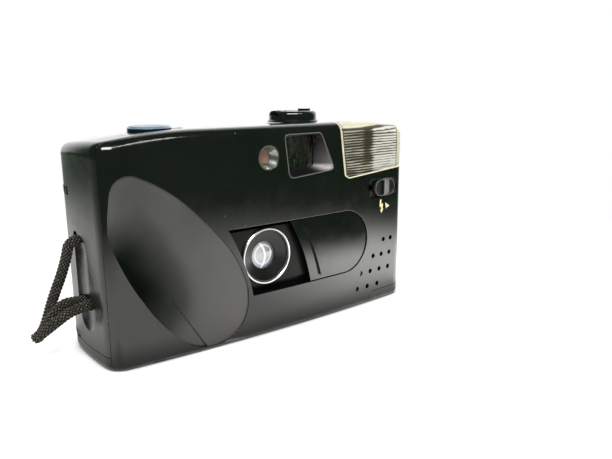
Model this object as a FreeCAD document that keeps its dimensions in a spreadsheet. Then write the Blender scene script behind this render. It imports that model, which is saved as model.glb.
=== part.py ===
import FreeCAD, Part
import math
import os
import re
import Sketcher

# A compact 35 mm film camera with a sliding lens cover.
# The camera stands on Z = 0, its front faces -Y and its grip is at -X. Sizes are in millimetres.

SIZES = [
    # Outer form
    ("half_width", 63.0, "middle to the corner of the front face"),
    ("body_depth", 41.0, "front to back"),
    ("body_height", 72.8, "foot to the highest point of the top cover"),
    ("front_bow", 2.8, "how far the front bows out between its corners"),
    ("front_radius", "=(half_width^2+front_bow^2)/(2*front_bow)", "radius of that bow"),
    ("side_bow", 1.5, "how far each side bows out"),
    ("front_corner", 6.0, "radius of the upright front corners"),
    ("rear_corner", 11.5, "radius of the upright rear corners"),
    ("rim_round", 3.5, "radius round the top"),
    ("foot_round", 2.0, "radius round the foot"),
    ("crown_flat", 30.0, "half of the level length of the top"),
    ("crown_radius", 185.0, "radius that the top falls by towards each end"),
    ("fall_radius", 250.0, "radius that the top falls by towards the back"),
    ("fall_start", "=-body_depth/2+5.5", "Y at which the top is highest"),
    ("wall", 1.8, "wall of every cover"),
    # Seams and clearances
    ("seam", 0.2, "gap between two covers"),
    ("gap", 0.3, "gap beside a piece that slides or swings"),
    ("running", 0.05, "radial clearance of a shaft in its hole"),
    ("front_seam", "=-body_depth/2+5", "Y where the front cover ends"),
    ("top_seam", "=body_height-7.3", "Z where the top cover starts at the sides"),
    ("low_seam", 4.5, "Z where the bottom cover ends"),
    ("door_seam", "=body_depth/2-7.9", "Y where the back door starts"),
    ("door_top", 55.1, "Z of the upper end of the back door"),
    # Lens
    ("lens_x", -5.9, "lens axis"),
    ("lens_z", 27.8, "lens axis"),
    ("glass_radius", 5.5, "front lens element"),
    ("glass_view", 4.95, "radius of the front element that shows"),
    ("glass_front", "=-body_depth/2+4.5", "Y of the front element's front"),
    ("glass_seat", "=-body_depth/2+5.3", "Y where the front element is seated"),
    ("glass_back", "=-body_depth/2+7.7", "Y of the front element's back"),
    ("cell_wall", 1.6, "wall of the lens cell"),
    ("rear_glass_front", "=-body_depth/2+11.1", "Y of the rear element's front"),
    ("rear_glass_back", "=-body_depth/2+13.1", "Y of the rear element's back"),
    ("stop_radius", 2.2, "lens stop"),
    ("ring_radius", 10.1, "outside of the bright ring"),
    ("ring_width", 0.85, "width of the bright ring"),
    ("ring_front", "=-body_depth/2+2", "Y of the bright ring's face"),
    ("shutter_front", "=-body_depth/2+14.1", "Y of the front of the shutter plate"),
    ("shutter_hole", 3.2, "radius of the shutter opening"),
    ("blade_x", -2.9, "pivot of the shutter blade"),
    ("blade_z", 43.0, "pivot of the shutter blade"),
    ("blade_pin", 0.8, "radius of that pivot"),
    # Lens slot and cover
    ("slot_low", 15.3, "Z of the slot's lower edge"),
    ("slot_top", 39.8, "Z of the slot's upper edge"),
    ("slot_turn", 29.3, "X of the centre of the slot's round end"),
    ("edge_top", -22.5, "X of the slot's slanting edge, at the top"),
    ("edge_mid", -17.3, "X of the same edge, at edge_mid_z"),
    ("edge_mid_z", 29.0, "Z of that point"),
    ("edge_low", -13.4, "X of the same edge, at the bottom"),
    ("cover_travel", 25.3, "travel of the lens cover"),
    ("cover_sink", 0.4, "how far the cover lies under the front"),
    ("cover_plate", 0.75, "thickness of the lens cover"),
    ("flange_front", "=-body_depth/2+3.4", "Y of the front of the cover's runners"),
    ("flange_back", "=-body_depth/2+4.2", "Y of the back of the cover's runners"),
    ("flange_lap", 1.4, "how far the runners reach behind the front cover"),
    ("rib_wide", 1.5, "width of the cover's thumb rib"),
    ("rib_inset", 4.4, "from the cover's edge to the thumb rib"),
    ("rib_rise", 0.9, "height of the thumb rib over the cover"),
    ("panel_front", "=-body_depth/2+4.5", "Y of the front of the lens panel"),
    ("panel_back", "=-body_depth/2+5.3", "Y of the back of the lens panel"),
    ("plateau_front", "=-body_depth/2+2.9", "Y of the raised middle of the lens panel"),
    ("plateau_low", 17.8, "Z of its lower edge"),
    ("plateau_top", 38.0, "Z of its upper edge"),
    # Main frame
    ("block_left", "=-half_width+4.4", "X of the film block's left side"),
    ("block_right", 37.8, "X of its right side"),
    ("block_front", "=-body_depth/2+8", "Y of its front"),
    ("block_rear", "=body_depth/2-8.3", "Y of its rear"),
    ("floor_top", 6.0, "Z of the film chambers' floor"),
    ("roof_low", 50.6, "Z of the film chambers' roof"),
    ("roof_top", 53.5, "Z of the top of the film block"),
    ("gate_wide", 36.0, "picture width"),
    ("gate_tall", 24.0, "picture height"),
    ("film_wide", 35.0, "film width"),
    ("rail_wide", 1.7, "width of a film rail"),
    ("inner_rail", 0.5, "height of the rails beside the picture"),
    ("outer_rail", 0.8, "height of the rails beside the film"),
    ("light_hole", 7.0, "half of the light path's front opening"),
    ("lens_bay_left", -21.0, "X of the bay for lens and shutter"),
    ("lens_bay_right", 9.4, "X of its right side"),
    ("lens_bay_low", 10.0, "Z of its floor"),
    ("lens_bay_top", 46.0, "Z of its roof"),
    ("lens_bay_back", "=-body_depth/2+17.5", "Y of its rear wall"),
    ("cassette_mouth", 10.6, "from the cassette axis to the film's way out"),
    # Film transport
    ("rewind_x", 23.5, "cassette and rewind axis"),
    ("rewind_y", "=body_depth/2-15.4", "cassette and rewind axis"),
    ("cassette_room", 13.0, "radius of the cassette chamber"),
    ("takeup_x", "=-half_width+17.5", "take-up axis"),
    ("takeup_y", -1.5, "take-up axis"),
    ("takeup_room", 11.4, "radius of the take-up chamber"),
    ("core_radius", 5.2, "take-up core"),
    ("rim_radius", 10.6, "flanges of the take-up spool"),
    ("axle_radius", 1.5, "axles of spool and wheel"),
    ("sprocket_x", -32.2, "sprocket axis"),
    ("sprocket_y", "=body_depth/2-14", "sprocket axis"),
    ("sprocket_radius", 5.9, "sprocket drum"),
    ("tooth_tall", 0.9, "height of a sprocket tooth"),
    ("perforation_pitch", 28.2, "between the two rows of perforations"),
    ("wheel_radius", 11.9, "thumb wheel"),
    ("wheel_y", "=body_depth/2-12.1", "thumb wheel axis"),
    ("wheel_low", 57.4, "Z of the thumb wheel's underside"),
    ("wheel_tall", 3.4, "thickness of the thumb wheel"),
    ("gear_low", 55.4, "Z of the gears' underside"),
    ("gear_tall", 1.7, "thickness of the gears"),
    ("gear_teeth", 16, "teeth of each gear"),
    ("gear_depth", 1.1, "tooth height"),
    ("gear_play", 0.05, "gap between tooth tip and root"),
    ("tooth_root", 1.1, "width of a gear tooth at its root"),
    ("tooth_tip", 0.55, "width of a gear tooth at its tip"),
    ("knurl_count", 40, "notches round the thumb wheel"),
    ("dial_x", -24.0, "frame counter axis"),
    ("dial_y", 4.5, "frame counter axis"),
    ("dial_low", "=body_height-5.2", "Z of the counter dial's underside"),
    ("dial_radius", 7.0, "counter dial"),
    ("dial_axle", 1.0, "radius of its axle"),
    ("window_y", 9.0, "Y of the counter window"),
    ("window_radius", 3.2, "counter window"),
    # Rewind knob
    ("knob_radius", 9.3, "rewind knob"),
    ("knob_flange", 9.95, "flange under the knob"),
    ("knob_low", "=body_height-0.4", "Z of the flange's underside"),
    ("knob_top", "=body_height+3.8", "Z of the knob's top"),
    ("knob_stem", 3.9, "stem of the knob in the top cover"),
    ("crank_x", 18.0, "hinge of the folding crank"),
    ("crank_z", "=body_height+2.9", "hinge of the folding crank"),
    ("crank_eye", 1.1, "radius of the crank's knuckle"),
    ("crank_pin", 0.6, "radius of the crank's pin"),
    ("crank_wide", 5.0, "width of the crank"),
    ("crank_thick", 1.8, "thickness of the crank"),
    ("fork_radius", 2.8, "rewind shaft"),
    ("fork_low", 44.5, "Z of the fork's tip"),
    # Shutter button
    ("button_x", "=-half_width+23.5", "button axis"),
    ("button_y", -1.5, "button axis"),
    ("button_radius", 7.05, "button"),
    ("button_top", "=body_height+0.7", "Z of the button's top"),
    ("button_low", "=body_height-3.2", "Z of the button's skirt"),
    ("button_travel", 1.2, "travel of the button"),
    ("stem_radius", 2.4, "stem of the button"),
    ("dish_radius", 10.8, "shallow dish round the button"),
    ("dish_depth", 0.9, "depth of the dish"),
    ("guide_floor", "=body_height-8.2", "Z of the underside of the button guide"),
    # Hinge of the back door
    ("hinge_x", "=-half_width+1.1", "door hinge axis"),
    ("hinge_y", "=body_depth/2-10.65", "door hinge axis"),
    ("arm_radius", 2.1, "hinge arms"),
    ("arm_tall", 2.3, "height of a hinge arm"),
    ("pin_radius", 0.8, "hinge pin"),
    ("hinge_post", 2.5, "radius of the frame's corner about the hinge"),
    ("plate_front", "=body_depth/2-7.3", "Y of the film pressure plate"),
    ("latch_y", "=body_depth/2-12", "Y of the door latch"),
    ("latch_low", 30.0, "Z of the latch's lower end"),
    ("latch_tall", 9.0, "height of the latch"),
    ("latch_travel", 4.0, "travel of the latch"),
    # Battery
    ("cell_x", "=half_width-11", "battery axis"),
    ("cell_y", 3.5, "battery axis"),
    ("cell_radius", 7.25, "battery cell"),
    ("cell_low", 4.7, "Z of the cell's lower end"),
    ("cell_tall", 50.0, "length of the cell"),
    ("battery_room", 7.6, "radius of the battery tube"),
    ("hatch_left", "=half_width-20.2", "X where the battery door starts"),
    # Viewfinder
    ("finder_low", "=body_height-15.6", "Z of the front window's lower edge"),
    ("finder_top", "=body_height-4.6", "Z of its upper edge"),
    ("finder_left", 6.0, "X of its left edge"),
    ("finder_right", 18.2, "X of its right edge"),
    ("finder_front", "=-body_depth/2+6.3", "Y of the front window"),
    ("finder_glass", 1.0, "thickness of the windows"),
    ("bezel_sink", 0.15, "how far the finder's bezel lies under the front"),
    ("eyepiece_low", "=body_height-14.9", "Z of the eyepiece's lower edge"),
    ("eyepiece_top", "=body_height-7", "Z of its upper edge"),
    ("eyepiece_front", "=body_depth/2-1.4", "Y of the eyepiece"),
    ("lamp_radius", 1.5, "flash ready lamp"),
    ("eye_z", "=body_height-10.5", "Z of the round light cell window"),
    ("eye_radius", 4.25, "round window"),
    ("eye_view", 2.2, "opening at the bottom of its funnel"),
    ("eye_front", "=-body_depth/2+0.2", "Y of the funnel's front"),
    ("eye_back", "=-body_depth/2+3.5", "Y of the funnel's back"),
    # Flash
    ("flash_left_top", 25.0, "X of the flash window's left edge, at Z 80"),
    ("flash_left_low", 28.9, "X of the same edge, at its lower end"),
    ("flash_low", "=body_height-20.8", "Z of the window's lower left corner"),
    ("flash_low_right", "=body_height-18.1", "Z of its lower edge, at X 70"),
    ("flash_ribs", 14, "ribs of the flash diffuser"),
    ("trough_front", "=-body_depth/2+5.1", "Y of the front of the reflector"),
    ("trough_back", "=-body_depth/2+12.5", "Y of its back"),
    ("trough_low", "=body_height-17.2", "Z of its lower edge"),
    ("trough_top", "=body_height-4.9", "Z of its upper edge"),
    ("trough_left", 29.4, "X of its left end"),
    ("trough_right", "=half_width-8", "X of its right end"),
    ("tube_radius", 2.0, "flash tube"),
    ("cap_radius", 6.5, "flash capacitor"),
    ("cap_long", 30.0, "length of the capacitor"),
    ("cap_left", -28.0, "X of its left end"),
    ("cap_y", -5.0, "its axis"),
    # Flash switch
    ("switch_left", "=half_width-22.4", "X of the switch recess"),
    ("switch_right", "=half_width-4.3", "X of its right end"),
    ("switch_low", "=body_height-30.1", "Z of its lower edge"),
    ("switch_tall", 7.4, "height of the recess"),
    ("switch_floor", "=-body_depth/2+3.9", "Y of the recess floor"),
    ("switch_back", "=-body_depth/2+5.1", "Y of the back of that floor"),
    ("switch_knob", "=half_width-17", "X of the switch knob's left end"),
    ("switch_long", 10.6, "length of the switch knob"),
    ("switch_sink", 0.8, "how far the knob lies under the front"),
    ("switch_travel", 4.8, "travel of the switch"),
    # Strap
    ("strap_y", 2.4, "Y of the strap holes"),
    ("strap_high", 39.5, "Z of the upper strap hole"),
    ("strap_low", 18.4, "Z of the lower strap hole"),
    ("strap_hole", 2.3, "radius of the strap holes"),
    ("cord_size", 3.6, "diameter of the wrist cord"),
    ("slot_front", -3.8, "Y of the front end of the lower strap hole"),
    # Grip and dimples
    ("grip_sink", 0.4, "depth of the grip field"),
    ("grip_turn", 17.0, "radius that the field rolls off by along its lower left edge"),
    ("grip_lean", 31.9, "lean of that edge from upright"),
    ("roll_x", -46.0, "X where the roll starts"),
    ("roll_z", 24.8, "Z of that point"),
    ("grip_back", "=-body_depth/2+5.2", "Y of the back of the thicker wall there"),
    ("dimple_x", "=half_width-7.4", "X of the top right dimple"),
    ("dimple_z", 25.2, "Z of the top row of dimples"),
    ("dimple_drop", 6.0, "from one row to the next"),
    ("dimple_pitch", 4.4, "between dimples of the top row"),
    ("dimple_spread", 0.47, "how much more that is in each lower row"),
    ("dimple_lean", 0.65, "how far each lower row starts to the left"),
    ("dimple_radius", 0.95, "dimple"),
    ("dimple_deep", 0.5, "depth of a dimple"),
    # Foot
    ("bush_y", 0.0, "Y of the tripod bush"),
    ("bush_radius", 5.5, "tripod bush"),
    ("tripod_radius", 3.175, "thread of the tripod bush, 1/4 inch"),
    ("head_radius", 1.9, "heads of the case screws"),
    ("screw_radius", 0.9, "case screws"),
]

doc = FreeCAD.newDocument("Camera")
sheet = doc.addObject("Spreadsheet::Sheet", "Sizes")
for row, (alias, size, note) in enumerate(SIZES, start=1):
    sheet.set("A%d" % row, note)
    sheet.setAlias("B%d" % row, alias)
for row, (alias, size, note) in enumerate(SIZES, start=1):
    sheet.set("B%d" % row, str(size))
doc.recompute()
NAMES = {alias for alias, size, note in SIZES}
NODES = []


# Formulas on the sheet

def formula(text):
    """Turn each size name in a formula into its cell of the sheet."""
    return re.sub(r"[a-z_]+", lambda word: "Sizes." + word[0] if word[0] in NAMES else word[0], str(text))


def value(text):
    return float(sheet.evalExpression(formula(text)))


def bind(thing, sizes):
    for key, text in sizes.items():
        thing.setExpression(key, formula(text))
    return thing


# Solids

TURNS = {
    "Z": FreeCAD.Rotation(),
    "X": FreeCAD.Rotation(FreeCAD.Vector(0, 1, 0), 90),
    "Y": FreeCAD.Rotation(FreeCAD.Vector(1, 0, 0), -90),
}


def seat(axis, at, start):
    """Placement of a solid whose own Z runs along axis, at two cross coordinates and a start."""
    cross = [key for key in "XYZ" if key != axis]
    where = {axis: start, cross[0]: at[0], cross[1]: at[1]}
    return {"Placement.Base." + key.lower(): text for key, text in where.items()}


def block(x0, x1, y0, y1, z0, z1):
    thing = doc.addObject("Part::Box", "Block")
    sizes = {"Length": "(%s)-(%s)" % (x1, x0), "Width": "(%s)-(%s)" % (y1, y0), "Height": "(%s)-(%s)" % (z1, z0)}
    sizes.update({"Placement.Base.x": x0, "Placement.Base.y": y0, "Placement.Base.z": z0})
    return bind(thing, sizes)


def rod(axis, at, radius, start, end):
    thing = doc.addObject("Part::Cylinder", "Rod")
    thing.Placement = FreeCAD.Placement(FreeCAD.Vector(), TURNS[axis])
    bind(thing, {"Radius": radius, "Height": "(%s)-(%s)" % (end, start)})
    return bind(thing, seat(axis, at, start))


def ball(x, y, z, radius):
    thing = doc.addObject("Part::Sphere", "Ball")
    return bind(thing, {"Radius": radius, "Placement.Base.x": x, "Placement.Base.y": y, "Placement.Base.z": z})


def fuse(*things):
    if len(things) == 1:
        return things[0]
    joined = doc.addObject("Part::MultiFuse", "Fuse")
    joined.Shapes = list(things)
    return joined


def cut(base, *tools):
    left = doc.addObject("Part::Cut", "Cut")
    left.Base, left.Tool = base, fuse(*tools)
    return left


def common(base, tool):
    shared = doc.addObject("Part::Common", "Common")
    shared.Base, shared.Tool = base, tool
    return shared


# Sketches and bodies

def outline(sketch, corners):
    """Close an outline through corners (x, y). A corner (x, y, u, v) starts an arc through (u, v)."""
    points = [FreeCAD.Vector(value(corner[0]), value(corner[1]), 0) for corner in corners]
    ends = []
    for index, corner in enumerate(corners):
        here, after = points[index], points[(index + 1) % len(points)]
        if len(corner) == 2:
            ends.append((sketch.addGeometry(Part.LineSegment(here, after), False), 1, 2))
            continue
        via = FreeCAD.Vector(value(corner[2]), value(corner[3]), 0)
        left_turn = (via - here).cross(after - via).z > 0
        arc = Part.Arc(here, via, after) if left_turn else Part.Arc(after, via, here)
        edge = sketch.addGeometry(arc, False)
        ends.append((edge, 1, 2) if left_turn else (edge, 2, 1))
        mark = sketch.addGeometry(Part.Point(via), True)
        fix(sketch, mark, 1, corner[2], corner[3])
        sketch.addConstraint(Sketcher.Constraint("PointOnObject", mark, 1, edge))
    for index, corner in enumerate(corners):
        edge, first, last = ends[index]
        before, before_first, before_last = ends[index - 1]
        sketch.addConstraint(Sketcher.Constraint("Coincident", before, before_last, edge, first))
        fix(sketch, edge, first, corner[0], corner[1])


def fix(sketch, edge, point, x, y):
    """Hold a point of a sketch at two formulas."""
    for kind, text in (("DistanceX", x), ("DistanceY", y)):
        mark = sketch.addConstraint(Sketcher.Constraint(kind, edge, point, value(text)))
        sketch.setExpression("Constraints[%d]" % mark, formula(text))


def new_sketch(body, role, offset):
    sketch = body.newObject("Sketcher::SketchObject", "Outline")
    plane = [feature for feature in body.Origin.OriginFeatures if feature.Role == role][0]
    sketch.AttachmentSupport = [(plane, "")]
    sketch.MapMode = "FlatFace"
    return bind(sketch, {"AttachmentOffset.Base." + key: text for key, text in offset.items()})


def prism(axis, corners, start, end):
    """A body padded along an axis. Corners are the two other coordinates, in X, Y, Z order."""
    body = doc.addObject("PartDesign::Body", "Prism")
    role = {"X": "YZ_Plane", "Y": "XZ_Plane", "Z": "XY_Plane"}[axis]
    # The XZ plane faces -Y, so a body along Y is padded from its far end.
    offset = "-(%s)" % end if axis == "Y" else start
    sketch = new_sketch(body, role, {"z": offset})
    outline(sketch, corners)
    pad = body.newObject("PartDesign::Pad", "Pad")
    pad.Profile = sketch
    bind(pad, {"Length": "(%s)-(%s)" % (end, start)})
    return body


def turned(axis, at, corners):
    """A body turned about an axis. Corners are (radius, place along the axis)."""
    body = doc.addObject("PartDesign::Body", "Turned")
    if axis == "Z":
        sketch = new_sketch(body, "XZ_Plane", {"x": at[0], "z": "-(%s)" % at[1]})
    elif axis == "Y":
        sketch = new_sketch(body, "XY_Plane", {"x": at[0], "z": at[1]})
    else:
        sketch = new_sketch(body, "XY_Plane", {"y": at[0], "z": at[1]})
        corners = [tuple(pair for place in zip(corner[1::2], corner[0::2]) for pair in place) for corner in corners]
    outline(sketch, corners)
    spin = body.newObject("PartDesign::Revolution", "Spin")
    spin.Profile = sketch
    spin.ReferenceAxis = (sketch, ["H_Axis" if axis == "X" else "V_Axis"])
    spin.Angle = 360
    return body


def dome(rim, rise, base, sign):
    """Corners of a ball's cap from its rim to the axis, for a turned body."""
    ball_radius = "(((%s)^2+(%s)^2)/(2*(%s)))" % (rim, rise, rise)
    halfway = "((%s)-%s+sqrt(%s^2-(%s)^2/4))" % (rise, ball_radius, ball_radius, rim)
    return [(rim, base, "(%s)/2" % rim, "(%s)%s%s" % (base, sign, halfway)), ("0", "(%s)%s(%s)" % (base, sign, rise))]


def stadium(axis, low, high, start, end, first, last):
    """A slot with round ends, from low to high across and from start to end along the first axis."""
    radius = "((%s)-(%s))/2" % (high, low)
    middle = "((%s)+(%s))/2" % (high, low)
    left, right = "(%s)+%s" % (start, radius), "(%s)-%s" % (end, radius)
    corners = [(left, low), (right, low, end, middle), (right, high), (left, high, start, middle)]
    return prism(axis, corners, first, last)


def edges_of(shape, test):
    return ["Edge%d" % number for number, edge in enumerate(shape.Edges, start=1) if test(edge)]


def rounded(body, radius, test):
    """Round the edges of a body's last feature that pass a test."""
    doc.recompute()
    base = body.Tip
    fillet = body.newObject("PartDesign::Fillet", "Round")
    fillet.Base = (base, edges_of(base.Shape, test))
    bind(fillet, {"Radius": radius})
    return body


def keep(node, thing):
    """Name a sub-part after its node."""
    thing.Label = node
    NODES.append(thing)
    return thing


# Outer form

def upright(edge):
    box = edge.BoundBox
    return box.ZLength > value("body_height/2") and max(box.XLength, box.YLength) < 0.5


def plan_outline(inset):
    """The camera seen from above, drawn in by inset."""
    half = "(half_width-(%s))" % inset
    deep = "(body_depth/2-(%s))" % inset
    front = "-%s+front_bow" % deep
    return [
        ("-" + half, front, "0", "-" + deep), (half, front, half + "+side_bow", "front_bow/2"),
        (half, deep), ("-" + half, deep, "-%s-side_bow" % half, "front_bow/2"),
    ]


def camera_form(inset):
    """The camera's closed form, drawn in by inset on every side."""
    body = doc.addObject("PartDesign::Body", "Form")
    plan = new_sketch(body, "XY_Plane", {"z": inset})
    outline(plan, plan_outline(inset))
    pad = body.newObject("PartDesign::Pad", "Upright")
    pad.Profile = plan
    bind(pad, {"Length": "body_height-2*(%s)" % inset})
    # The sheet over the top is a ring segment, so its sketch stands on the ring's axis.
    crown = new_sketch(body, "XZ_Plane", {"y": "body_height-(%s)-fall_radius" % inset, "z": "-fall_start"})
    reach = "(half_width+5-crown_flat)"

    def height(run):
        return "fall_radius-(crown_radius-sqrt(crown_radius^2-(%s)^2))" % run

    end, middle = "crown_flat+" + reach, "crown_flat+%s/2" % reach
    outline(crown, [
        ("-(%s)" % end, height(reach), "-(%s)" % middle, height(reach + "/2")), ("-crown_flat", "fall_radius"),
        ("crown_flat", "fall_radius", middle, height(reach + "/2")), (end, height(reach)),
        (end, "fall_radius+8"), ("-(%s)" % end, "fall_radius+8"),
    ])
    groove = body.newObject("PartDesign::Groove", "Crown")
    groove.Profile = crown
    groove.ReferenceAxis = (crown, ["H_Axis"])
    groove.Angle = 24
    groove.Midplane = True
    rounded(body, "rear_corner-(%s)" % inset, lambda edge: upright(edge) and edge.BoundBox.YMin > 0)
    rounded(body, "front_corner-(%s)" % inset, lambda edge: upright(edge) and edge.BoundBox.YMax < -value("body_depth/4"))
    if inset == "0":
        rounded(body, "foot_round", lambda edge: edge.BoundBox.ZMax < 0.01)
    doc.recompute()
    shape = body.Tip.Shape

    def on_rim(edge):
        if edge.BoundBox.ZMin < value("body_height*0.8"):
            return False
        middle_point = edge.valueAt((edge.FirstParameter + edge.LastParameter) / 2)
        faces = [face for face in shape.Faces if any(other.isSame(edge) for other in face.Edges)]
        return min(abs(face.normalAt(*face.Surface.parameter(middle_point)).z) for face in faces) < 0.3

    rounded(body, "rim_round-(%s)" % inset, on_rim)
    doc.recompute()
    return body


FAR = "100"
outer = camera_form("0")
inner = camera_form("wall")


def front_form(inset):
    """Everything that lies deeper than inset under the front and the sides."""
    return prism("Z", plan_outline(inset), "-1", FAR)


def shell(region):
    """The camera's wall inside a region."""
    return cut(common(outer, region), inner)


def leaning(thing, back, across):
    """Lean a solid to the left, about a point that lies back and across from where the roll starts."""
    # The front bows, so the roll's axis lies behind the surface along its normal.
    thing.Placement = FreeCAD.Placement(FreeCAD.Vector(), FreeCAD.Rotation(FreeCAD.Vector(0, 1, 0), -value("grip_lean")))
    reach = "(%s)" % across
    return bind(thing, {
        "Placement.Base.x": "roll_x+%s*cos(grip_lean)+60*sin(grip_lean)" % reach,
        "Placement.Base.z": "roll_z+%s*sin(grip_lean)-60*cos(grip_lean)" % reach,
        "Placement.Base.y": back,
    })


def grip_floor():
    """The grip's floor, a little under the front, which rolls off along its lower left edge."""
    slope = "(roll_x/front_radius)"
    face = "-body_depth/2+grip_sink+front_radius*(1-cos(asin(%s)))" % slope
    roll = leaning(rod("Z", ("0", "0"), "grip_turn", "0", "120"), face + "+grip_turn*cos(asin(%s))" % slope,
                   "-grip_turn*%s" % slope)
    rest = leaning(block("0", "90", "-30", "30", "0", "120"), "-30", "0")
    return common(front_form("grip_sink"), fuse(roll, rest))


def slot_outline(grow):
    """The lens slot's outline, grown by a margin."""
    low, top = "slot_low-(%s)" % grow, "slot_top+(%s)" % grow
    radius = "((%s)-(%s))/2" % (top, low)
    return [
        ("edge_low-(%s)" % grow, low), ("slot_turn", low, "slot_turn+" + radius, "(slot_low+slot_top)/2"),
        ("slot_turn", top), ("edge_top-(%s)" % grow, top, "edge_mid-(%s)" % grow, "edge_mid_z"),
    ]


# Outlines on the front, (X, Z)
# The grip is a leaf-shaped matte field, drawn as arcs.
GRIP = [
    ("-61.3", "49.3", "-60.8", "53.4"), ("-59.4", "57.9", "-56.8", "59.9"), ("-52.7", "60.0", "-43.6", "55.1"),
    ("-37.3", "50.2", "-31.1", "44.0"), ("-24.2", "36.3", "-19.2", "28.9"), ("-16.3", "22.0", "-15.2", "14.7"),
    ("-16.8", "8.1", "-20.8", "3.7"), ("-26.5", "1.5", "-33.4", "1.8"), ("-38.8", "4.4", "-45.9", "11.5"),
    ("-52.3", "20.9", "-57.0", "29.6"), ("-60.1", "37.5", "-61.4", "43.6"),
]
# The viewfinder's mouth, and the rim of its funnel just inside that.
FINDER_MOUTH = [
    ("0.8", "finder_top+0.4", "1.2", "finder_top+1.2"), ("2.2", "finder_top+1.5"),
    ("16.0", "finder_top+1.5", "17.0", "finder_top+1.0"), ("17.6", "finder_top+0.1"),
    ("22.8", "finder_low+0.4", "22.9", "finder_low-0.7"), ("21.8", "finder_low-1.2"),
    ("4.6", "finder_low-2.6", "3.2", "finder_low-2.3"), ("2.4", "finder_low-1.0"),
]
FINDER_RIM = [
    ("1.15", "finder_top+0.4", "1.5", "finder_top+0.95"), ("2.25", "finder_top+1.15"),
    ("15.95", "finder_top+1.15", "16.75", "finder_top+0.75"), ("17.25", "finder_top"),
    ("22.45", "finder_low+0.35", "22.5", "finder_low-0.45"), ("21.75", "finder_low-0.85"),
    ("4.65", "finder_low-2.25", "3.5", "finder_low-2.0"), ("2.77", "finder_low-0.95"),
]
# First and last dimple of each row, counted from the right
DIMPLES = [(0, 1), (0, 2), (0, 3), (1, 3)]


def flash_outline(grow):
    return [
        ("flash_left_top-(%s)" % grow, "80"), ("flash_left_low-(%s)" % grow, "flash_low+2.8",
                                              "flash_left_low+0.6-(%s)" % grow, "flash_low+0.9-(%s)" % grow),
        ("flash_left_low+2.4", "flash_low-(%s)" % grow), ("70", "flash_low_right-(%s)" % grow), ("70", "80"),
    ]


def hatch_outline(grow):
    """The battery door's outline seen from the front."""
    left = "hatch_left-(%s)" % grow
    top = "low_seam-seam/2+(%s)" % grow
    return [
        (left, "-1"), (left, "0.6", left + "+0.9", "low_seam-1.4"), (left + "+3.2", top),
        ("80", top), ("80", "-1"),
    ]


# Covers

SCREWS = [("-half_width+11", "8"), ("-half_width+11", "-9.5"), ("34", "8"), ("34", "-9.5")]


def front_cover():
    front = shell(block("-" + FAR, FAR, "-30", "front_seam-seam/2", "-1", FAR))
    switch_pad = common(inner, block("switch_left-2", "switch_right+2", "-30", "switch_back",
                                     "switch_low-2", "switch_low+switch_tall+2"))
    dimples = []
    for row, (first, last) in enumerate(DIMPLES):
        for column in range(first, last + 1):
            x = "dimple_x-%d*dimple_lean-%d*(dimple_pitch+%d*dimple_spread)" % (row, column, row)
            dimples.append(rod("Y", (x, "dimple_z-%d*dimple_drop" % row), "dimple_radius", "-30", "-10"))
    openings = [
        prism("Y", slot_outline("0"), "-30", "-10"),
        prism("Y", FINDER_MOUTH, "-30", "-10"),
        prism("Y", flash_outline("seam"), "-30", "-10"),
        prism("Y", hatch_outline("seam"), "-30", "-10"),
        rod("Y", ("lens_x", "eye_z"), "eye_radius", "-30", "-10"),
        cut(prism("Y", GRIP, "-30", "-10"), grip_floor()),
        cut(fuse(*dimples), front_form("dimple_deep")),
        stadium("Y", "switch_low", "switch_low+switch_tall", "switch_left", "switch_right", "-30", "switch_floor"),
        stadium("Y", "switch_low+2.7", "switch_low+4.7", "switch_left+4", "switch_right-4.4", "-30", "-10"),
    ]
    grip_pad = common(inner, block("-62", "-30", "-30", "grip_back", "2.5", "46"))
    keep("front_cover", cut(fuse(front, switch_pad, grip_pad), *openings))


def top_cover():
    crown = block("-" + FAR, FAR, "front_seam+seam/2", FAR, "top_seam+seam/2", FAR)
    apron = block("-" + FAR, FAR, "door_seam+seam/2", FAR, "door_top+seam", FAR)
    button = ("button_x", "button_y")
    guide = rod("Z", button, "button_radius+gap+1.2", "guide_floor", "body_height-2")
    dish = turned("Z", button, [("0", "body_height+2"), ("dish_radius", "body_height+2")] + dome(
        "dish_radius", "dish_depth+0.3", "body_height-0.5", "-"))
    rewind_seat = rod("Z", ("rewind_x", "rewind_y"), "knob_flange+gap", "body_height-4", "knob_low-gap")
    openings = [
        dish,
        rod("Z", button, "button_radius+gap", "guide_floor+1.4", FAR),
        rod("Z", button, "stem_radius+running", "guide_floor-1", FAR),
        rod("Z", ("rewind_x", "rewind_y"), "knob_flange+gap", "knob_low-gap", FAR),
        rod("Z", ("rewind_x", "rewind_y"), "knob_stem+running", "60", FAR),
        rod("Z", ("dial_x", "window_y"), "window_radius", "60", FAR),
        block("finder_left", "finder_right", "10", FAR, "eyepiece_low", "eyepiece_top"),
        rod("Y", ("finder_right+4.2", "(finder_low+finder_top)/2"), "lamp_radius", "10", FAR),
        rod("Z", ("takeup_x", "wheel_y"), "wheel_radius+gap", "wheel_low-gap", "wheel_low+wheel_tall+gap"),
        # A scoop lets the thumb reach the wheel.
        rod("X", ("body_depth/2+9", "wheel_low+wheel_tall/2"), "10.1", "takeup_x-9", "takeup_x+9"),
    ]
    keep("top_cover", cut(fuse(shell(fuse(crown, apron)), cut(guide, dish), rewind_seat), *openings))
    keep("counter_window", shell(rod("Z", ("dial_x", "window_y"), "window_radius", "60", FAR)))


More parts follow.
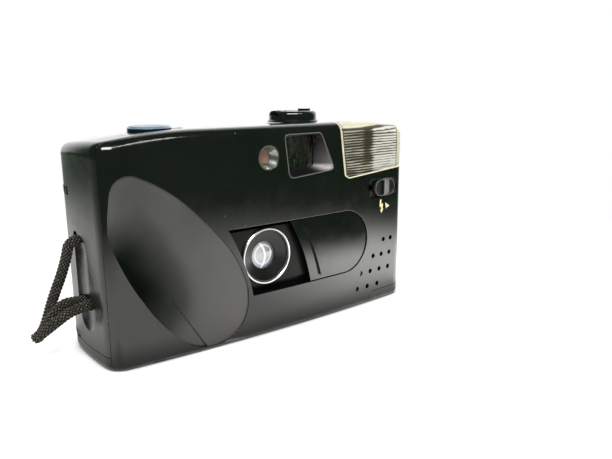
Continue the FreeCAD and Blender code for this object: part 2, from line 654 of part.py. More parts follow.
def bottom_cover():
    sole = shell(block("-" + FAR, "hatch_left-seam", "front_seam+seam/2", FAR, "-1", "low_seam-seam/2"))
    openings = [rod("Z", ("lens_x", "bush_y"), "bush_radius", "-1", "5")]
    for place in SCREWS:
        openings.append(rod("Z", place, "head_radius+gap", "-1", "1.1"))
        openings.append(rod("Z", place, "screw_radius+gap", "-1", "5"))
    keep("bottom_cover", cut(sole, *openings))
    keep("tripod_bush", turned("Z", ("lens_x", "bush_y"), [
        ("tripod_radius", "0"), ("bush_radius", "0"), ("bush_radius", "low_seam+2.4"), ("tripod_radius", "low_seam+2.4")]))
    screws = []
    for place in SCREWS:
        screws.append(turned("Z", place, [
            ("0", "0.7"), ("0.8", "0.3"), ("head_radius", "0.3"), ("head_radius", "1.1"), ("screw_radius", "1.1"),
            ("screw_radius", "low_seam+0.8"), ("0", "low_seam+0.8")]))
    keep("case_screws", fuse(*screws))


def battery_hatch():
    skin = shell(prism("Y", hatch_outline("0"), "-30", "30"))
    # Two tabs slide over the bottom cover's inner face.
    tabs = []
    for y in ("-9", "9"):
        tabs.append(block("hatch_left-4", "hatch_left+3", y + "-3", y + "+3", "wall+seam/2", "wall+1.2"))
        tabs.append(block("hatch_left+0.4", "hatch_left+3", y + "-3", y + "+3", "wall-0.5", "wall+1.2"))
    keep("battery_door", fuse(skin, *tabs))
    keep("battery_spring", prism("Y", [
        ("cell_x-5.5", "wall", "cell_x", "low_seam-0.1"), ("cell_x+5.5", "wall"),
        ("cell_x+4.7", "wall", "cell_x", "low_seam-0.6"), ("cell_x-4.7", "wall")], "cell_y-2.5", "cell_y+2.5"))
    keep("battery_cell", turned("Z", ("cell_x", "cell_y"), [
        ("0", "cell_low"), ("cell_radius-0.8", "cell_low"), ("cell_radius", "cell_low+0.8"),
        ("cell_radius", "cell_low+cell_tall-1.8"), ("cell_radius-0.8", "cell_low+cell_tall-1.2"),
        ("2.7", "cell_low+cell_tall-1.2"), ("2.7", "cell_low+cell_tall"), ("0", "cell_low+cell_tall")]))
    keep("battery_contact", rod("Z", ("cell_x", "cell_y"), "3.4", "cell_low+cell_tall", "cell_low+cell_tall+0.7"))


# Main frame

def section(corners, y):
    """An upright outline across the camera, at Y."""
    sketch = doc.addObject("Sketcher::SketchObject", "Section")
    sketch.Placement = FreeCAD.Placement(FreeCAD.Vector(), FreeCAD.Rotation(FreeCAD.Vector(1, 0, 0), 90))
    bind(sketch, {"Placement.Base.y": y})
    outline(sketch, corners)
    return sketch


def taper(front, front_y, back, back_y):
    loft = doc.addObject("Part::Loft", "Taper")
    loft.Sections = [section(front, front_y), section(back, back_y)]
    loft.Solid = True
    loft.Ruled = True
    return loft


def frame_outline(left, right, low, top, grow):
    left, right = "(%s)-(%s)" % (left, grow), "(%s)+(%s)" % (right, grow)
    low, top = "(%s)-(%s)" % (low, grow), "(%s)+(%s)" % (top, grow)
    return [(left, low), (right, low), (right, top), (left, top)]


def soft_outline(left, right, low, top):
    """A window's outline with rounded corners."""
    return [
        (left, top + "-0.8", left + "+0.23", top + "-0.23"), (left + "+0.8", top),
        (right + "-0.8", top, right + "-0.23", top + "-0.23"), (right, top + "-0.8"),
        (right, low + "+0.8", right + "-0.23", low + "+0.23"), (right + "-0.8", low),
        (left + "+0.8", low, left + "+0.23", low + "+0.23"), (left, low + "+0.8"),
    ]


def oblong(x, z, half_wide, half_tall):
    return frame_outline("%s-%s" % (x, half_wide), "%s+%s" % (x, half_wide), "%s-%s" % (z, half_tall), "%s+%s" % (z, half_tall), "0")


def film_rails():
    """Two low rails beside the picture and two higher ones beside the film."""
    rails = []
    for half, rise in (("gate_tall/2+0.6", "inner_rail"), ("film_wide/2+0.1", "outer_rail")):
        for low in ("lens_z-(%s)-rail_wide" % half, "lens_z+" + half):
            rails.append(block("lens_x-gate_wide/2-2", "lens_x+gate_wide/2+0.3", "block_rear-1", "block_rear+" + rise,
                               low, low + "+rail_wide"))
    return rails


def main_frame():
    low, spool = "low_seam+seam/2", ("takeup_x", "takeup_y")
    cassette, sprocket, cell = ("rewind_x", "rewind_y"), ("sprocket_x", "sprocket_y"), ("cell_x", "cell_y")
    box_top = "cell_low+cell_tall+1.5"
    walls = [
        block("block_left", "block_right", "block_front", "block_rear", "floor_top", "roof_low"),
        rod("Z", spool, "takeup_room+1", "floor_top", "roof_low"),
    ] + film_rails()
    floor = [
        common(inner, block("-" + FAR, FAR, "block_front", "block_rear", low, "floor_top")),
        rod("Z", spool, "takeup_room+1", low, "floor_top"),
        block("cell_x-battery_room-1.2", "cell_x+battery_room+1.2", "cell_y-battery_room-1.2",
              "cell_y+battery_room+1.1", low, box_top),
    ]
    roof = [
        common(inner, block("-" + FAR, "cell_x-battery_room-1.4", "block_front", "block_rear", "roof_low", "roof_top")),
        rod("Z", spool, "takeup_room+1", "roof_low", "roof_top"),
    ]
    corner = [
        # Room for the back door's hinge and its arms
        block("-70", "block_left", "hinge_y-arm_radius-1.2", "30", "3", "top_seam"),
        block("-70", "hinge_x+4.2", "hinge_y-arm_radius-1.2", "30", "door_top-arm_tall-gap", "door_top+gap"),
        block("-70", "hinge_x+4.2", "hinge_y-arm_radius-1.2", "30", "3", low + "+arm_tall+gap"),
    ]
    openings = [
        # Light path from the lens to the picture
        taper(oblong("lens_x", "lens_z", "light_hole", "light_hole"), "lens_bay_back-0.2",
              oblong("lens_x", "lens_z", "gate_wide/2", "gate_tall/2"), "block_rear"),
        block("lens_x-gate_wide/2", "lens_x+gate_wide/2", "block_rear", "block_rear+2",
              "lens_z-gate_tall/2", "lens_z+gate_tall/2"),
        block("lens_bay_left", "lens_bay_right", "block_front-1", "lens_bay_back", "lens_bay_low", "lens_bay_top"),
        # Cassette chamber
        rod("Z", cassette, "cassette_room", "floor_top", "roof_low"),
        block("rewind_x-cassette_mouth", "rewind_x+cassette_room", "rewind_y", "block_rear+3", "floor_top", "roof_low"),
        rod("Z", cassette, "fork_radius+running", "roof_low-1", "roof_top+1"),
        # Take-up chamber and sprocket pocket
        rod("Z", spool, "takeup_room", "floor_top", "roof_low"),
        block("takeup_x-takeup_room", "sprocket_x", "takeup_y", "block_rear+3", "floor_top", "roof_low"),
        rod("Z", spool, "axle_radius+running", "3", "roof_top+1"),
        rod("Z", sprocket, "sprocket_radius+tooth_tall+0.6", "floor_top", "roof_low"),
        rod("Z", sprocket, "axle_radius+running", "3", "roof_top+1"),
        # Battery tube
        rod("Z", cell, "battery_room", "3", "cell_low+cell_tall+0.1"),
        rod("Z", cell, "3.4", "3", "cell_low+cell_tall+0.7"),
        rod("Z", ("lens_x", "bush_y"), "bush_radius", "2", "low_seam+2.4"),
    ]
    wheel = ("takeup_x", "wheel_y")
    added = [
        rod("Z", ("dial_x", "dial_y"), "2.2", "roof_top-1", "dial_low-gap"),
        rod("Z", ("dial_x", "dial_y"), "dial_axle", "roof_top-1", "dial_low+1.5"),
        rod("Z", wheel, "axle_radius+1.2", "roof_top-1", "gear_low-gap"),
        rod("Z", wheel, "axle_radius", "roof_top-1", "wheel_low+wheel_tall+0.3"),
    ]
    posts = [rod("Z", place, "2.6", "wall", "low_seam+1") for place in SCREWS]
    pilots = [rod("Z", place, "screw_radius", "1", "low_seam+0.8") for place in SCREWS]
    keep("main_frame", cut(fuse(*walls), *openings, *corner))
    keep("frame_floor", cut(fuse(cut(fuse(*floor), *openings, *corner), *posts), *pilots))
    keep("frame_roof", fuse(cut(fuse(*roof), *openings, *corner), *added))


# Side walls

def side_walls():
    low, top, hinge = "low_seam+seam/2", "top_seam-seam/2", ("hinge_x", "hinge_y")
    strap_pad = block("-70", "-half_width+2", "-9", "8", "10", "44")
    walls = [shell(block(start, end, "front_seam+seam/2", "door_seam-seam/2", low, top))
             for start, end in (("-" + FAR, "0"), ("0", FAR))]
    # The groove between the strap holes ends in a soft hollow at each hole.
    groove = ("-half_width-side_bow-10.7", "strap_y-3.4")
    openings = [
        rod("X", ("strap_y", "strap_high"), "strap_hole", "-70", "block_left"),
        stadium("X", "strap_low-strap_hole", "strap_low+strap_hole", "slot_front", "strap_y+strap_hole",
                "-70", "block_left"),
        ball("-half_width-side_bow-13.2", "strap_y-5.4", "strap_low-1.9", "14.8"),
        rod("Z", groove, "12", "strap_low", "strap_high-4"),
        ball(*groove, "strap_high-4", "12"),
        # Room for the back door's hinge
        rod("Z", hinge, "pin_radius", "3", "door_top+5"),
        cut(block("-70", "hinge_x", "hinge_y", "30", "3", "door_top+gap"),
            rod("Z", hinge, "hinge_post", "2", "door_top+2")),
        block("-70", "hinge_x+4.2", "hinge_y-arm_radius-1.2", "30", "door_top-arm_tall-gap", "door_top+gap"),
        block("-70", "hinge_x+4.2", "hinge_y-arm_radius-1.2", "30", "3", low + "+arm_tall+gap"),
    ]
    post = common(outer, block("-70", "hinge_x+2.6", "hinge_y-hinge_post", "block_rear", low, top))
    keep("left_side", cut(fuse(walls[0], common(outer, strap_pad), post), *openings))
    latch_slot = block("half_width-1.2", "80", "latch_y-2.2", "latch_y+2.2", "latch_low-latch_travel-gap",
                       "latch_low+latch_tall+gap")
    keep("right_side", cut(walls[1], latch_slot))


# Lens and shutter

PANEL_LEGS = [("-23.6", "35"), ("13", "36"), ("13", "15"), ("32", "16")]


def lens_group():
    axis, bore = ("lens_x", "lens_z"), "ring_radius-ring_width"
    plateau = prism("Y", [
        ("edge_low+0.6", "plateau_low"), ("slot_turn+8", "plateau_low"), ("slot_turn+8", "plateau_top"),
        ("edge_top+1.1", "plateau_top", "edge_mid+0.4", "edge_mid_z"),
    ], "plateau_front", "panel_front")
    legs = [block(x + "-1.6", x + "+1.6", "panel_back", "block_front", z, z + "+3") for x, z in PANEL_LEGS]
    plate = prism("Y", slot_outline("3.2"), "panel_front", "panel_back")
    keep("lens_panel", cut(fuse(plate, plateau, *legs), rod("Y", axis, bore, "-30", "-10")))
    keep("lens_ring", turned("Y", axis, [
        (bore, "plateau_front"), (bore, "ring_front+0.15"), (bore + "+0.15", "ring_front"),
        ("ring_radius-0.25", "ring_front"), ("ring_radius", "ring_front+0.25"), ("ring_radius", "plateau_front")]))
    keep("lens_hood", turned("Y", axis, [
        (bore, "ring_front+0.3"), (bore, "panel_back"), ("glass_radius", "panel_back"), ("glass_view", "glass_seat-0.4"),
        ("glass_view", "glass_front"), (bore + "-0.6", "ring_front+0.9"), (bore + "-0.5", "ring_front+0.3")]))
    keep("front_lens", turned("Y", axis, [
        ("0", "glass_back"), ("glass_radius", "glass_back"), ("glass_radius", "glass_seat"),
    ] + dome("glass_view-0.1", "glass_seat-glass_front", "glass_seat", "-")))
    keep("rear_lens", turned("Y", axis, [
        ("0", "rear_glass_front"), ("glass_radius", "rear_glass_front"), ("glass_radius", "rear_glass_back"),
    ] + dome("glass_radius-1", "0.45", "rear_glass_back", "+")))
    stop = turned("Y", axis, [
        ("stop_radius", "glass_back+0.6"), ("stop_radius", "glass_back+1.2"), ("glass_radius-1.2", "rear_glass_front"),
        ("glass_radius", "rear_glass_front"), ("glass_radius", "glass_back"), ("glass_view", "glass_back")])
    cell = turned("Y", axis, [
        ("glass_radius", "glass_seat"), ("glass_radius+cell_wall", "glass_seat"), ("glass_radius+cell_wall", "shutter_front"),
        ("shutter_hole", "shutter_front"), ("shutter_hole+0.5", "rear_glass_back+0.5"),
        ("glass_radius", "rear_glass_back+0.5")])
    keep("lens_cell", fuse(cell, stop))
    plate = block("lens_bay_left", "lens_bay_right", "shutter_front", "shutter_front+1", "lens_bay_low", "lens_bay_top")
    pivot = rod("Y", ("blade_x", "blade_z"), "blade_pin", "shutter_front+1", "shutter_front+2.6")
    keep("shutter_plate", fuse(cut(plate, rod("Y", axis, "shutter_hole", "-10", "0")), pivot))
    leaf = ("shutter_front+1+gap", "shutter_front+1.4+gap")
    blade = fuse(
        rod("Y", axis, "shutter_hole+0.6", *leaf), rod("Y", ("blade_x", "blade_z"), "2.2", *leaf),
        prism("Y", [("lens_x-2.4", "lens_z+2"), ("lens_x+2.8", "lens_z+1"), ("blade_x+2", "blade_z-0.8"),
                    ("blade_x-2.1", "blade_z+0.2")], *leaf))
    keep("shutter_blade", cut(blade, rod("Y", ("blade_x", "blade_z"), "blade_pin+running", "-10", "0")))


def lens_cover():
    shift = "+cover_travel+gap"
    low, top, middle = "slot_low+gap", "slot_top-gap", "(slot_low+slot_top)/2"
    plan = [
        ("edge_low" + shift, low), ("slot_turn", low, "slot_turn+(slot_top-slot_low)/2-gap", middle),
        ("slot_turn", top), ("edge_top" + shift, top, "edge_mid" + shift, "edge_mid_z"),
    ]
    face, back = front_form("cover_sink"), front_form("cover_sink+cover_plate")
    parts = [cut(common(prism("Y", plan, "-30", "-10"), face), back)]
    start, end = "edge_low%s+0.6" % shift, "slot_turn+2"
    for web_low, web_top, lip_low, lip_top in (
            (low, low + "+1.6", "slot_low-flange_lap", low + "+1.6"), (top + "-0.9", top, top + "-0.9", "slot_top+flange_lap")):
        parts.append(common(block(start, end, "-30", "flange_back", web_low, web_top), face))
        parts.append(block(start, end, "flange_front", "flange_back", lip_low, lip_top))
    left = "edge_%s" + shift + "+rib_inset"
    rib = prism("Y", [
        (left % "low", low + "+1.6"), ((left % "low") + "+rib_wide", low + "+1.6", (left % "mid") + "+rib_wide", "edge_mid_z"),
        ((left % "top") + "+1.6+rib_wide", top + "-3"), ((left % "top") + "+1.6", top + "-3", left % "mid", "edge_mid_z"),
    ], "-30", "-10")
    parts.append(cut(common(rib, front_form("cover_sink-rib_rise")), back))
    keep("lens_cover", fuse(*parts))


# Film transport

QUARTER_TURN = 90


def gear(x, y, turn):
    """A spur gear with straight flanks. turn is the angle of its first tooth."""
    root, tip = "((wheel_y-takeup_y-gear_depth)/2)", "((wheel_y-takeup_y+gear_depth)/2-gear_play)"
    body = doc.addObject("PartDesign::Body", "Gear")
    hub = new_sketch(body, "XY_Plane", {"x": x, "y": y, "z": "gear_low"})
    rim = hub.addGeometry(Part.Circle(FreeCAD.Vector(), FreeCAD.Vector(0, 0, 1), value(root)), False)
    hub.addConstraint(Sketcher.Constraint("Coincident", rim, 3, -1, 1))
    size = hub.addConstraint(Sketcher.Constraint("Radius", rim, value(root)))
    hub.setExpression("Constraints[%d]" % size, formula(root))
    disc = body.newObject("PartDesign::Pad", "Disc")
    disc.Profile = hub
    bind(disc, {"Length": "gear_tall"})
    profile = new_sketch(body, "XY_Plane", {"x": x, "y": y, "z": "gear_low"})
    profile.AttachmentOffset = FreeCAD.Placement(
        profile.AttachmentOffset.Base, FreeCAD.Rotation(FreeCAD.Vector(0, 0, 1), turn))
    outline(profile, [(root + "-0.4", "-tooth_root/2"), (tip, "-tooth_tip/2"), (tip, "tooth_tip/2"), (root + "-0.4", "tooth_root/2")])
    tooth = body.newObject("PartDesign::Pad", "Tooth")
    tooth.Profile = profile
    bind(tooth, {"Length": "gear_tall"})
    repeat(body, tooth, hub, "gear_teeth")
    return body


def repeat(body, feature, sketch, count):
    """Repeat a feature round its sketch's own normal."""
    ring = body.newObject("PartDesign::PolarPattern", "Ring")
    ring.Originals = [feature]
    ring.Axis = (sketch, ["N_Axis"])
    ring.Angle = 360
    bind(ring, {"Occurrences": count})
    body.Tip = ring


def thumb_wheel():
    wheel, top = ("takeup_x", "wheel_y"), "wheel_low+wheel_tall"
    disc = turned("Z", wheel, [
        ("axle_radius+running", "wheel_low"), ("wheel_radius-0.5", "wheel_low"), ("wheel_radius", "wheel_low+0.5"),
        ("wheel_radius", top + "-0.5"), ("wheel_radius-0.5", top), ("axle_radius+running", top)])
    profile = new_sketch(disc, "XY_Plane", {"x": wheel[0], "y": wheel[1], "z": top})
    outline(profile, [("wheel_radius-0.6", "-0.15"), ("wheel_radius+1", "-0.75"), ("wheel_radius+1", "0.75"), ("wheel_radius-0.6", "0.15")])
    notch = disc.newObject("PartDesign::Pocket", "Notch")
    notch.Profile = profile
    bind(notch, {"Length": "wheel_tall"})
    repeat(disc, notch, profile, "knurl_count")
    sleeve = rod("Z", wheel, "axle_radius+1", "gear_low", "wheel_low")
    bore = rod("Z", wheel, "axle_radius+running", "gear_low-1", "wheel_low+1")
    keep("thumb_wheel", cut(fuse(disc, gear("takeup_x", "wheel_y", -QUARTER_TURN), sleeve), bore))


def take_up():
    spool, rim_low, rim_top = ("takeup_x", "takeup_y"), "floor_top+0.8", "roof_low-0.8"
    reel = turned("Z", spool, [
        ("0", "low_seam+0.6"), ("axle_radius", "low_seam+0.6"), ("axle_radius", "floor_top+gap"),
        ("core_radius", "floor_top+gap"), ("core_radius", "roof_low-gap"), ("axle_radius", "roof_low-gap"),
        ("axle_radius", "gear_low+gear_tall"), ("0", "gear_low+gear_tall")])
    rims = [turned("Z", spool, [
        ("core_radius", flat), ("rim_radius", flat), ("rim_radius", flat + sign + "0.9"), ("core_radius", flat + sign + "1.5")])
        for flat, sign in ((rim_low, "+"), (rim_top, "-"))]
    keep("spool_rims", fuse(*rims))
    slots = [block("takeup_x-0.5", "takeup_x+0.5", "takeup_y" + near, "takeup_y" + far, "lens_z-13", "lens_z+13")
             for near, far in (("-8", "-1.6"), ("+1.6", "+8"))]
    keep("take_up_spool", cut(reel, *slots))
    # The gears mesh: half a tooth's turn puts a gap of this one at a tooth of the other.
    half_tooth = 180 / value("gear_teeth")
    bore = rod("Z", spool, "axle_radius", "gear_low-1", "gear_low+gear_tall+1")
    keep("take_up_gear", cut(gear("takeup_x", "takeup_y", QUARTER_TURN + half_tooth), bore))


def sprocket():
    low, high = "lens_z-perforation_pitch/2", "lens_z+perforation_pitch/2"
    axis = ("sprocket_x", "sprocket_y")
    drum = turned("Z", axis, [
        ("axle_radius", low + "-2"), ("sprocket_radius", low + "-2"), ("sprocket_radius", low + "+2"),
        ("axle_radius+1.5", low + "+2"), ("axle_radius+1.5", high + "-2"), ("sprocket_radius", high + "-2"),
        ("sprocket_radius", high + "+2"), ("axle_radius", high + "+2")])
    # The shaft is thinner above the roof, where it passes the thumb wheel.
    keep("sprocket_shaft", turned("Z", axis, [
        ("0", "low_seam+0.6"), ("axle_radius", "low_seam+0.6"), ("axle_radius", "roof_top+0.4"),
        ("axle_radius-0.5", "roof_top+0.4"), ("axle_radius-0.5", "dial_low+0.9"), ("0", "dial_low+0.9")]))
    teeth = [sprocket_tooth(22.5 + 45 * step, middle) for step in range(8) for middle in (low, high)]
    keep("sprocket", fuse(drum, *teeth))
    keep("counter_dial", turned("Z", ("dial_x", "dial_y"), [
        ("dial_axle+running", "dial_low"), ("dial_radius", "dial_low"), ("dial_radius", "dial_low+0.9"),
        ("dial_axle+running", "dial_low+0.9")]))


def sprocket_tooth(angle, middle):
    """A tapered tooth that enters a perforation."""
    tooth = doc.addObject("Part::Wedge", "Tooth")
    tooth.Placement = FreeCAD.Placement(FreeCAD.Vector(), FreeCAD.Rotation(FreeCAD.Vector(0, 0, 1), angle - 90))
    return bind(tooth, {
        "Xmin": "-0.9", "Xmax": "0.9", "Zmin": "-1.3", "Zmax": "1.3", "Ymin": "sprocket_radius-0.4",
        "Ymax": "sprocket_radius+tooth_tall", "X2min": "-0.4", "X2max": "0.4", "Z2min": "-0.8", "Z2max": "0.8",
        "Placement.Base.x": "sprocket_x", "Placement.Base.y": "sprocket_y", "Placement.Base.z": middle,
    })


def rewind():
    axis, hinge = ("rewind_x", "rewind_y"), ("crank_x", "crank_z")
    half = "crank_wide/2"
    knob = turned("Z", axis, [
        ("0", "knob_low-6"), ("knob_stem", "knob_low-6"), ("knob_stem", "knob_low"), ("knob_flange-0.4", "knob_low"),
        ("knob_flange", "knob_low+0.3"), ("knob_flange-0.5", "knob_low+0.8"), ("knob_radius", "knob_low+0.8"),
        ("knob_radius", "knob_top-1.5", "knob_radius-0.45", "knob_top-0.45"), ("knob_radius-1.5", "knob_top"),
        ("0", "knob_top")])
    well = block("crank_x-6", "rewind_x+knob_radius+2", "rewind_y-%s-gap" % half, "rewind_y+%s+gap" % half,
                 "knob_top-crank_thick", "knob_top+1")
    room = rod("Y", hinge, "crank_eye+gap", "rewind_y-%s-gap" % half, "rewind_y+%s+gap" % half)
    pin = rod("Y", hinge, "crank_pin", "rewind_y-%s-1.6" % half, "rewind_y+%s+1.6" % half)
    keep("rewind_knob", cut(knob, well, room, pin))
    keep("crank_pin", rod("Y", hinge, "crank_pin", "rewind_y-%s-1.6" % half, "rewind_y+%s+1.6" % half))
    arm = block("crank_x", "rewind_x+knob_radius-3.6", "rewind_y-" + half, "rewind_y+" + half,
                "knob_top-crank_thick+gap", "knob_top-0.1")
    knuckle = rod("Y", hinge, "crank_eye", "rewind_y-" + half, "rewind_y+" + half)
    grip = rod("Z", ("rewind_x+knob_radius-3.6", "rewind_y"), half, "knob_top-crank_thick+gap", "knob_top+0.7")
    keep("rewind_crank", cut(fuse(arm, knuckle, grip), rod("Y", hinge, "crank_pin+running", "-10", "30")))
    shaft = rod("Z", axis, "fork_radius", "fork_low", "knob_low-6")
    keep("rewind_fork", cut(shaft, block("rewind_x-4", "rewind_x+4", "rewind_y-0.9", "rewind_y+0.9", "fork_low-1", "fork_low+4")))


def release():
    button = ("button_x", "button_y")
    foot = "guide_floor-seam/2"
    keep("shutter_button", turned("Z", button, [
        ("0", foot + "-0.8"), ("stem_radius+0.8", foot + "-0.8"), ("stem_radius+0.8", foot), ("stem_radius", foot),
        ("stem_radius", "button_low+0.9"), ("button_radius-1", "button_low+0.9"), ("button_radius-1", "button_low"),
        ("button_radius", "button_low"), ("button_radius", "button_top-0.7"), ("button_radius-0.7", "button_top"),
    ] + dome("button_radius-1.6", "0.5", "button_top", "-")))
    keep("button_spring", turned("Z", button, [
        ("stem_radius+0.4", "guide_floor+1.4"), ("stem_radius+1.2", "guide_floor+1.4"),
        ("stem_radius+1.2", "button_low+0.9"), ("stem_radius+0.4", "button_low+0.9")]))


# Back door

def back_door():
    low, top, hinge = "low_seam+seam/2", "door_top", ("hinge_x", "hinge_y")
    leaf = common(outer, block("-" + FAR, FAR, "door_seam+seam/2", FAR, low, top))
    hollow = common(inner, block("-" + FAR, FAR, "0", FAR, low + "+1.3", top + "-1.3"))
    arms = []
    for start, end in ((low, low + "+arm_tall"), (top + "-arm_tall", top)):
        arms.append(rod("Z", hinge, "arm_radius", start, end))
        arms.append(block("hinge_x-arm_radius+0.5", "hinge_x+arm_radius", "hinge_y", "door_seam+0.9", start, end))
    hook = block("half_width-1.9", "half_width-1.3", "latch_y-1.6", "door_seam+2", "latch_low+2", "latch_low+6")
    bore = rod("Z", hinge, "pin_radius+running", "0", "60")
    keep("back_door", cut(fuse(cut(leaf, hollow), *arms, hook), bore))
    keep("hinge_pin", rod("Z", hinge, "pin_radius", low + "+0.1", "door_top+5"))
    keep("door_latch", block("half_width-1.0", "half_width+1.9", "latch_y-1.9", "latch_y+1.9", "latch_low", "latch_low+latch_tall"))


def film_pressure():
    rear = "body_depth/2-wall"
    keep("pressure_plate", prism("Y", oblong("lens_x", "lens_z", "(gate_wide/2+3.4)", "(film_wide/2+1)"),
                                 "plate_front", "plate_front+1.2"))
    for node, x, half, reach, sheet_thick in (
            ("plate_spring", "lens_x", "14", "plate_front+1.2", "0.4"), ("cassette_spring", "rewind_x", "7", rear + "-1.2", "0.3")):
        keep(node, prism("Z", [
            ("%s-%s" % (x, half), rear, x, reach), ("%s+%s" % (x, half), rear),
            ("%s+%s-0.8" % (x, half), rear, x, "%s+%s" % (reach, sheet_thick)), ("%s-%s+0.8" % (x, half), rear)],
            "lens_z-5", "lens_z+5"))


# Viewfinder and light cell

def viewfinder():
    left, right, low, top = "finder_left", "finder_right", "finder_low", "finder_top"
    rim = common(prism("Y", FINDER_MOUTH, "-30", "finder_front"), front_form("bezel_sink"))
    funnel = taper(FINDER_RIM, "-body_depth/2-0.2", soft_outline(left, right, low, top), "finder_front+0.01")
    keep("finder_bezel", cut(rim, funnel))
    keep("finder_window", block(left, right, "finder_front", "finder_front+finder_glass", low, top))
    rear = "body_depth/2-wall"
    tube, bore = [taper(
        frame_outline(left, right, low, top, wall), "finder_front",
        frame_outline(left, right, "eyepiece_low", "eyepiece_top", wall), rear) for wall in ("0.9", "0")]
    feet = [block(left + "+1", left + "+9", y, y + "+3", "roof_top", low + "-0.2") for y in ("-10", "6")]
    pane = block(left, right, "finder_front", "finder_front+finder_glass", low, top)
    keep("finder_tunnel", cut(fuse(tube, *feet), bore, pane))
    keep("eyepiece", block(left, right, "eyepiece_front", "eyepiece_front+finder_glass", "eyepiece_low", "eyepiece_top"))
    eye = ("lens_x", "eye_z")
    keep("cell_hood", turned("Y", eye, [
        ("eye_radius", "eye_front"), ("eye_radius", "eye_back"), ("eye_view", "eye_back"), ("eye_view", "eye_back-0.5"),
        ("eye_radius-0.4", "eye_front")]))
    keep("light_cell", rod("Y", eye, "eye_radius-0.4", "eye_back", "eye_back+1.8"))
    keep("ready_lamp", rod("Y", ("finder_right+4.2", "(finder_low+finder_top)/2"), "lamp_radius",
                           "body_depth/2-2.6", "body_depth/2-0.3"))


# Flash

def flash():
    keep("flash_window", shell(prism("Y", flash_outline("0"), "-30", "front_seam-seam/2")))
    count, low, pitch = int(value("flash_ribs")), "trough_low", "(trough_top-trough_low)/flash_ribs"
    ribs = [("trough_front", "trough_top"), ("trough_front", "trough_low")]
    for rib in range(count):
        ribs.append(("trough_front-0.4", "%s+%d*%s" % (low, rib, pitch)))
        ribs.append(("trough_front-0.9", "%s+%.1f*%s" % (low, rib + 0.5, pitch)))
    ribs.append(("trough_front-0.4", "trough_top"))
    keep("flash_diffuser", prism("X", ribs, "trough_left", "trough_right"))
    middle = "(trough_low+trough_top)/2"
    curve = [("trough_front", "trough_low", "trough_back", middle), ("trough_front", "trough_top")]
    hollow = prism("X", [("trough_front-1", "trough_low+0.6", "trough_back-0.7", middle), ("trough_front-1", "trough_top-0.6")],
                   "trough_left+0.8", "trough_right-0.8")
    feet = [block(x, x + "+3", "trough_front+3.2", "trough_back", "roof_top", middle + "-2") for x in ("trough_left+2", "trough_right-8")]
    tube = ("trough_back-3.4", middle)
    bowl = fuse(prism("X", curve, "trough_left", "trough_right"), *feet)
    keep("flash_reflector", cut(bowl, hollow, rod("X", tube, "tube_radius", "0", FAR)))
    keep("flash_tube", rod("X", tube, "tube_radius", "trough_left-1.5", "trough_right+1"))
    keep("capacitor", fuse(
        rod("X", ("cap_y", "roof_top+cap_radius+0.1"), "cap_radius", "cap_left", "cap_left+cap_long"),
        block("cap_left+4", "cap_left+cap_long-4", "cap_y-4", "cap_y+4", "roof_top", "roof_top+3")))
    keep("flash_board", block("34.5", "half_width-3", "block_front-1.3", "block_front", "8", "39.5"))
    keep("transformer", block("cell_x-5", "cell_x+5", "cell_y-4", "cell_y+5", "cell_low+cell_tall+1.5", "cell_low+cell_tall+10"))


def flash_switch():
    low, top, end = "switch_low+gap", "switch_low+switch_tall-gap", "switch_knob+switch_long"
    centre = "switch_knob+switch_long/2"
    knob = common(stadium("Y", low, top, "switch_knob", end, "-30", "switch_floor-seam/2"), front_form("switch_sink"))
    ridge = common(block(centre + "-0.5", centre + "+0.5", "-30", "switch_floor-seam", low + "+0.6", top + "-0.6"), front_form("0"))
    stem = block(centre + "-1.5", centre + "+1.5", "switch_floor-1", "switch_back+0.2", "switch_low+2.9", "switch_low+4.5")
    clip = block(centre + "-2.5", centre + "+2.5", "switch_back+0.1", "switch_back+0.9", "switch_low+2", "switch_low+5.4")
    keep("flash_switch", fuse(knob, ridge, stem, clip))


# Wrist cord

# Chosen points of the looped strand: out of the upper hole, down to the fold beside the camera and back
# into the lower hole. It stays in front of the back door's path.
CORD = [
    (-61.0, 2.4, 39.5), (-66.5, 3.1, 38.8), (-67.2, 4.0, 34.0), (-69.2, 5.0, 27.4), (-72.0, 6.6, 20.0),
    (-74.2, 11.2, 8.8), (-78.3, 7.0, 6.9), (-74.9, 0.6, 15.6), (-71.0, 1.5, 19.2), (-66.4, 2.6, 18.9),
    (-61.0, 2.4, 18.4),
]
# The second strand beside it, from the lower hole to its loose end.
TAIL = [
    (-61.0, -1.5, 18.2), (-66.2, -1.5, 17.8), (-70.2, -2.2, 17.2), (-75.7, -4.0, 15.0), (-80.2, 0.0, 10.4),
]


def cord(node, points):
    """A round cord along straight runs that tangent arcs join. Its length and least bend are printed."""
    corners = [FreeCAD.Vector(*point) for point in points]
    edges, place, tightest = [], corners[0], 1e9
    for before, corner, after in zip(corners, corners[1:], corners[2:]):
        come, leave = corner - before, after - corner
        reach = 0.45 * min(come.Length, leave.Length)
        half_turn = come.getAngle(leave) / 2
        tightest = min(tightest, reach / math.tan(half_turn))
        first = corner - come.normalize() * reach
        last = corner + leave.normalize() * reach
        inward = (leave - come).normalize()
        middle = corner + inward * reach * (1 / math.cos(half_turn) - 1) / math.tan(half_turn)
        edges += [Part.makeLine(place, first), Part.Arc(first, middle, last).toShape()]
        place = last
    edges.append(Part.makeLine(place, corners[-1]))
    route = doc.addObject("Part::Feature", "Route")
    route.Shape = Part.Wire(edges)
    ring = doc.addObject("Part::Circle", "Ring")
    ring.Placement = FreeCAD.Placement(corners[0], FreeCAD.Rotation(FreeCAD.Vector(0, 0, 1), corners[1] - corners[0]))
    bind(ring, {"Radius": "cord_size/2"})
    sweep = doc.addObject("Part::Sweep", "Cord")
    sweep.Sections = [ring]
    sweep.Spine = (route, ["Edge%d" % number for number in range(1, len(edges) + 1)])
    sweep.Solid = True
    keep(node, sweep)
    print("%s: %.1f mm long, least bend radius %.1f mm" % (node, route.Shape.Length, tightest))
    return route


